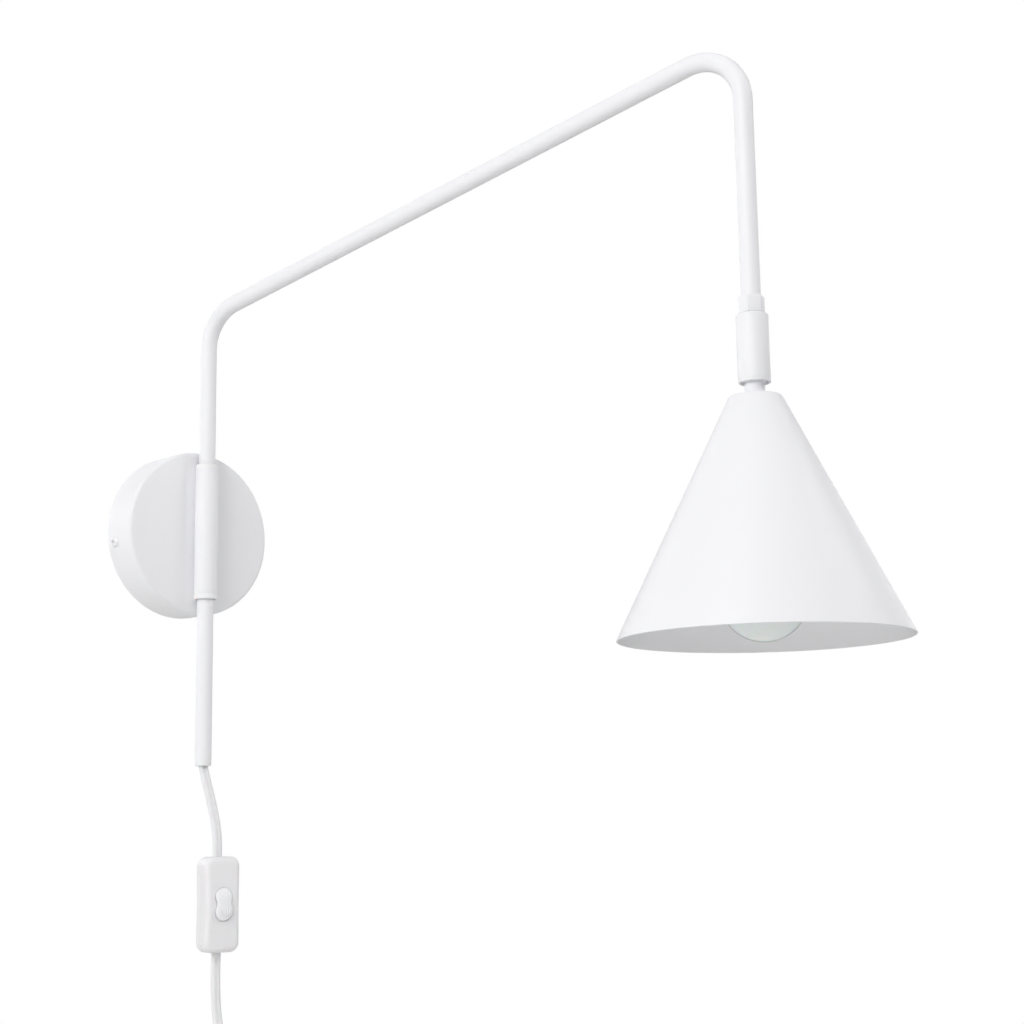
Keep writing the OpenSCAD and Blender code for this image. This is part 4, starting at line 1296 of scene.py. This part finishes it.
def makeRocker():
    made, lobe = rockerMade, rockerMade["lobe"]
    outline = peanut()
    edge = made["edge"]

    # each end wall bends round the pivot, so its gap stays even as it tips
    def reachAt(depth):
        return math.sqrt(made["arc"] ** 2 - depth ** 2) / (made["length"] / 2)

    def ringAt(inset, below):
        ring = []
        for x, z in outline:
            scaleX, scaleZ = 1 - inset / lobe, 1 - inset / (made["length"] / 2)
            bow = made["bow"] * (x * scaleX / lobe) ** 2
            ring.append((x * scaleX, rockerFace(z * scaleZ) + bow + below, z * scaleZ))
        return ring

    base = [(x * 0.96, -0.6, z * 0.96 * reachAt(0.6)) for x, z in outline]
    rings = [base] + [[(x, -y, z * reachAt(y)) for x, z in outline] for y in (1.2, 2, 2.8, 3.5)]
    for k in range(6):
        a = math.pi / 2 * k / 5
        rings.append(ringAt(edge * (1 - math.cos(a)), edge * (1 - math.sin(a))))
    for inset in (1.5, 2.6, 3.7, 4.6, 5.15):
        rings.append(ringAt(inset, 0))
    rocker = newShape("rocker_cap", [lofted(rings)])
    # grip ribs on both ends: one rib along the face's curve, copied across it
    radius, first, last = 0.34, made["flat"] + 0.9, made["length"] / 2 - 1.9
    for end in (-1, 1):
        rings = []
        for k in range(13):
            z = first + (last - first) * k / 12
            size = radius * min(1, 0.25 + 3 * min(k, 12 - k) / 12)
            rings.append([(size * math.cos(a), rockerFace(z) - 0.02 + size * math.sin(a), end * z)
                          for a in [2 * math.pi * n / 10 for n in range(10)]])
        rib = newShape("rib", [lofted(rings)])
        span = made["pitch"] * (made["ribs"] - 1)
        merged(rocker, copied("row", rib, shapeRow, {
            "Count": made["ribs"], "Start": (-span / 2 * mm, 0, 0), "Step": (made["pitch"] * mm, 0, 0),
            "Last Scale": 1.0, "Finish": rockerAbs}))
    # the block that the pin runs through
    shaped(rocker, [boxShape((-3.4, -2, -2.2), (3.4, 2.2, 2.2))], "UNION")
    shaped(rocker, [placed(roundBar(1.06, -8, 8, 32), turned(90, "Y"))])
    rocker.data.transform(atSwitch() @ moved(0, made["pivot"] * mm, 0)
                          @ turned(made["tilt"], "X"))
    settled(rocker, rockerAbs, 40)
    return fitted(rocker, "rocker", "switch_abs", "switch_rocker")


caseParts = makeSwitchCase()
rockerCap = makeRocker()
print("switch made")

# the tie that holds the hank, and the plug on the cord's end
tieMade = {"place": (3, -35, -369), "wide": 20.4, "thick": 21.4, "half": 4, "wall": 1.2, "corner": 3.5}
plugMade = {"top": (22, -39, -447), "grip": 24, "gripTop": 4.0, "gripLow": 5.4, "neckWide": 26, "neck": 12,
            "wide": 35, "thick": 13.7, "length": 33, "corner": 5, "pitch": 18.6, "pin": 2.0, "pinLong": 19,
            "sleeve": 1.85, "sleeveLong": 10, "rings": 6, "ringStep": -3.2}


def makeTie():
    made = tieMade
    half, wall = made["half"], made["wall"]
    section = [(-0.12, -half + 0.12), (0, -half + 0.5), (0, -1.6), (-0.25, -1.2), (-0.25, -0.6), (0, -0.2),
               (0, 0.2), (-0.25, 0.6), (-0.25, 1.2), (0, 1.6), (0, half - 0.5), (-0.12, half - 0.12),
               (-0.5, half), (-wall + 0.3, half), (-wall, half - 0.3), (-wall, -half + 0.3),
               (-wall + 0.3, -half), (-0.5, -half)]
    rings = [[(p.x, p.y, h) for p in roundRect(made["wide"] + 2 * out, made["thick"] + 2 * out,
                                               made["corner"] + out, 120)] for out, h in section]
    place = atPlace(made["place"])
    tie = newShape("hank_band", [lofted(rings, closed=True)], place)
    settled(tie, nylon)
    return fitted(tie, "arm", "white_nylon", "hank_tie")


def makePlug():
    made = plugMade
    place = atPlace(made["top"])
    grip, neck = -made["grip"], -made["grip"] - made["neck"]
    low = -made["grip"] - made["length"]
    thick, corner = made["thick"], made["corner"]
    stations = [(grip + 1, 10.6, 10.6, 5.3), (grip - 0.5, 14, 11.5, 5.2), (grip - 1.6, 20, 13, 5.1),
                (grip - 3, 24.6, thick - 0.3, corner), (grip - 4.5, made["neckWide"], thick, corner),
                (neck, made["neckWide"], thick, corner), (neck - 1.2, made["neckWide"] + 1.6, thick, corner),
                (neck - 4.2, made["wide"] - 1.4, thick, corner), (neck - 6, made["wide"], thick, corner),
                (low + 1.2, made["wide"], thick, corner),
                (low + 0.35, made["wide"] - 0.6, thick - 0.6, corner),
                (low, made["wide"] - 2, thick - 2, corner - 0.6)]
    rings = [[(p.x, p.y, h) for p in roundRect(w, t, c, 112)] for h, w, t, c in stations]
    plug = newShape("plug_shell", [lofted(rings)])
    gripTop = made["gripTop"]
    cone = [(0, 0), (gripTop - 0.5, 0), (gripTop - 0.1, -0.4), (made["gripLow"] - 0.5, grip - 0.6),
            (0, grip - 0.6)]
    shaped(plug, [revolved(cone, 64)], "UNION")
    # moulded grip rings down the tapered relief
    outline = [(2.6, 0.85), (gripTop - 0.1, 0.85), (gripTop + 0.1, 0.6), (gripTop + 0.1, -0.6),
               (gripTop - 0.1, -0.85), (2.6, -0.85)]
    bead = newShape("bead", [revolved(outline, 64)])
    merged(plug, copied("row", bead, shapeRow, {
        "Count": made["rings"], "Start": (0, 0, -2.6 * mm), "Step": (0, 0, made["ringStep"] * mm),
        "Last Scale": 1.26, "Finish": holderPlastic}))
    plug.data.transform(place)
    settled(plug, holderPlastic, 40)
    fitted(plug, "arm", "holder_plastic", "plug_body")
    sleeves, tips = [], []
    for s in (-1, 1):
        side = moved(s * made["pitch"] / 2, 0, low)
        r, end, collar, step = made["pin"], -made["pinLong"], made["sleeve"], -made["sleeveLong"]
        sleeve = [(0, 1.5), (collar, 1.5), (collar, step + 0.15), (collar - 0.15, step), (0, step)]
        sleeves.append(placed(revolved(sleeve, 48), side))
        tip = rounded([(0, step, 0), (r, step, 0.15), (r, end, 1.3), (0, end, 0)])
        tips.append(placed(revolved(tip, 48), side))
    pins = newShape("plug_pin_tips", tips, place)
    settled(pins, nickel)
    fitted(pins, "arm", "brass", "plug_pins")
    collars = newShape("plug_pin_sleeves", sleeves, place)
    settled(collars, holderPlastic)
    fitted(collars, "arm", "holder_plastic")
    return plug, pins, collars


tie = makeTie()
plugParts = makePlug()
print("tie and plug made")

# the small parts that keep their own shape get their real finish
finishOf = {
    "sleeve_screws": zinc, "snap_rings": springSteel, "cord_clamp": nylon, "clamp_screw": powderCoat,
    "arm_wire": None, "stem_ring": springSteel, "turn_washer": nylon, "disc_springs": springSteel,
    "ball_seat": nylon, "shade_washer": zinc, "lock_nut": zinc, "holder_base": steatite,
    "holder_shell": brass, "holder_contact": brass, "bulb_insulator": blackGlass,
    "switch_terminals": brass, "rocker_pin": springSteel, "rocker_bridge": brass,
}
# the same sheath inside the tube, where no map of its own is needed
wirePvc = makeAbs("armWirePvc", (0.4, 0.5), 0.004)
for name, finish in finishOf.items():
    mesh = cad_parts[name].data
    mesh.materials.clear()
    mesh.materials.append(finish or wirePvc)

# a pale round floor well below the lamp, and soft studio light
stageMade = {"floorHeight": -0.6, "floorRadius": 1.9, "floorColour": "#F2F2F0", "background": 1.0,
             "fill": 0.015}
# soft round lights in a dome: heading in degrees (0 is to the right, 90 behind the wall), height, watts
domeMade = {"centre": (0.03, -0.2, 0.0), "distance": 2.4, "size": 1.2, "lights": [
    (195, 32, 18.3), (315, 32, 15.6), (210, 12, 13.3), (90, 12, 8.6), (120, 12, 7.6), (0, 89, 8.8),
    (0, 12, 8.8), (150, 12, 6.2), (270, 50, 6.3), (180, 12, 5.8), (75, 32, 4), (225, 50, 4),
    (330, 12, 2.8), (270, 12, 2.7),
    (240, 12, 1.9), (90, 50, 1.8)]}


def makeFloor():
    made = stageMade
    disc = lofted([circleAt(made["floorRadius"], made["floorHeight"] + h, 96) for h in (-0.02, 0)])
    floor = newShape("floor", [disc], None, 1.0)
    paint, tree, shader = newFinish("floorPaint", made["floorColour"], 0.8)
    place = objectPlace(tree)
    tree.links.new(bumped(tree, noiseOf(tree, place, 8), 0.02, 0.3), shader.inputs["Normal"])
    settled(floor, paint)


# the background stays white to the eye, while the light it gives is softer
def makeWorld():
    world = bpy.data.worlds.new("studio")
    scene.world = world
    world.use_nodes = True
    tree = world.node_tree
    back = tree.nodes["Background"]
    back.inputs["Color"].default_value = (1, 1, 1, 1)
    path = addNode(tree, "ShaderNodeLightPath")
    strength = addNode(tree, "ShaderNodeMapRange", None,
                       {"Value": path.outputs["Is Camera Ray"], "To Min": stageMade["fill"],
                        "To Max": stageMade["background"]})
    tree.links.new(strength.outputs["Result"], back.inputs["Strength"])


def makeLights():
    made = domeMade
    centre = Vector(made["centre"])
    for heading, height, watts in made["lights"]:
        data = bpy.data.lights.new(f"soft{heading}at{height}", "AREA")
        data.shape = "DISK"
        data.size = made["size"]
        data.energy = watts
        lamp = bpy.data.objects.new(data.name, data)
        scene.collection.objects.link(lamp)
        a, e = math.radians(heading), math.radians(height)
        away = Vector((math.cos(e) * math.cos(a), math.cos(e) * math.sin(a), math.sin(e)))
        facing = away.to_track_quat("Z", "Y").to_matrix().to_4x4()
        lamp.matrix_world = Matrix.Translation(centre + away * made["distance"]) @ facing


makeFloor()
makeWorld()
makeLights()
print("stage set")
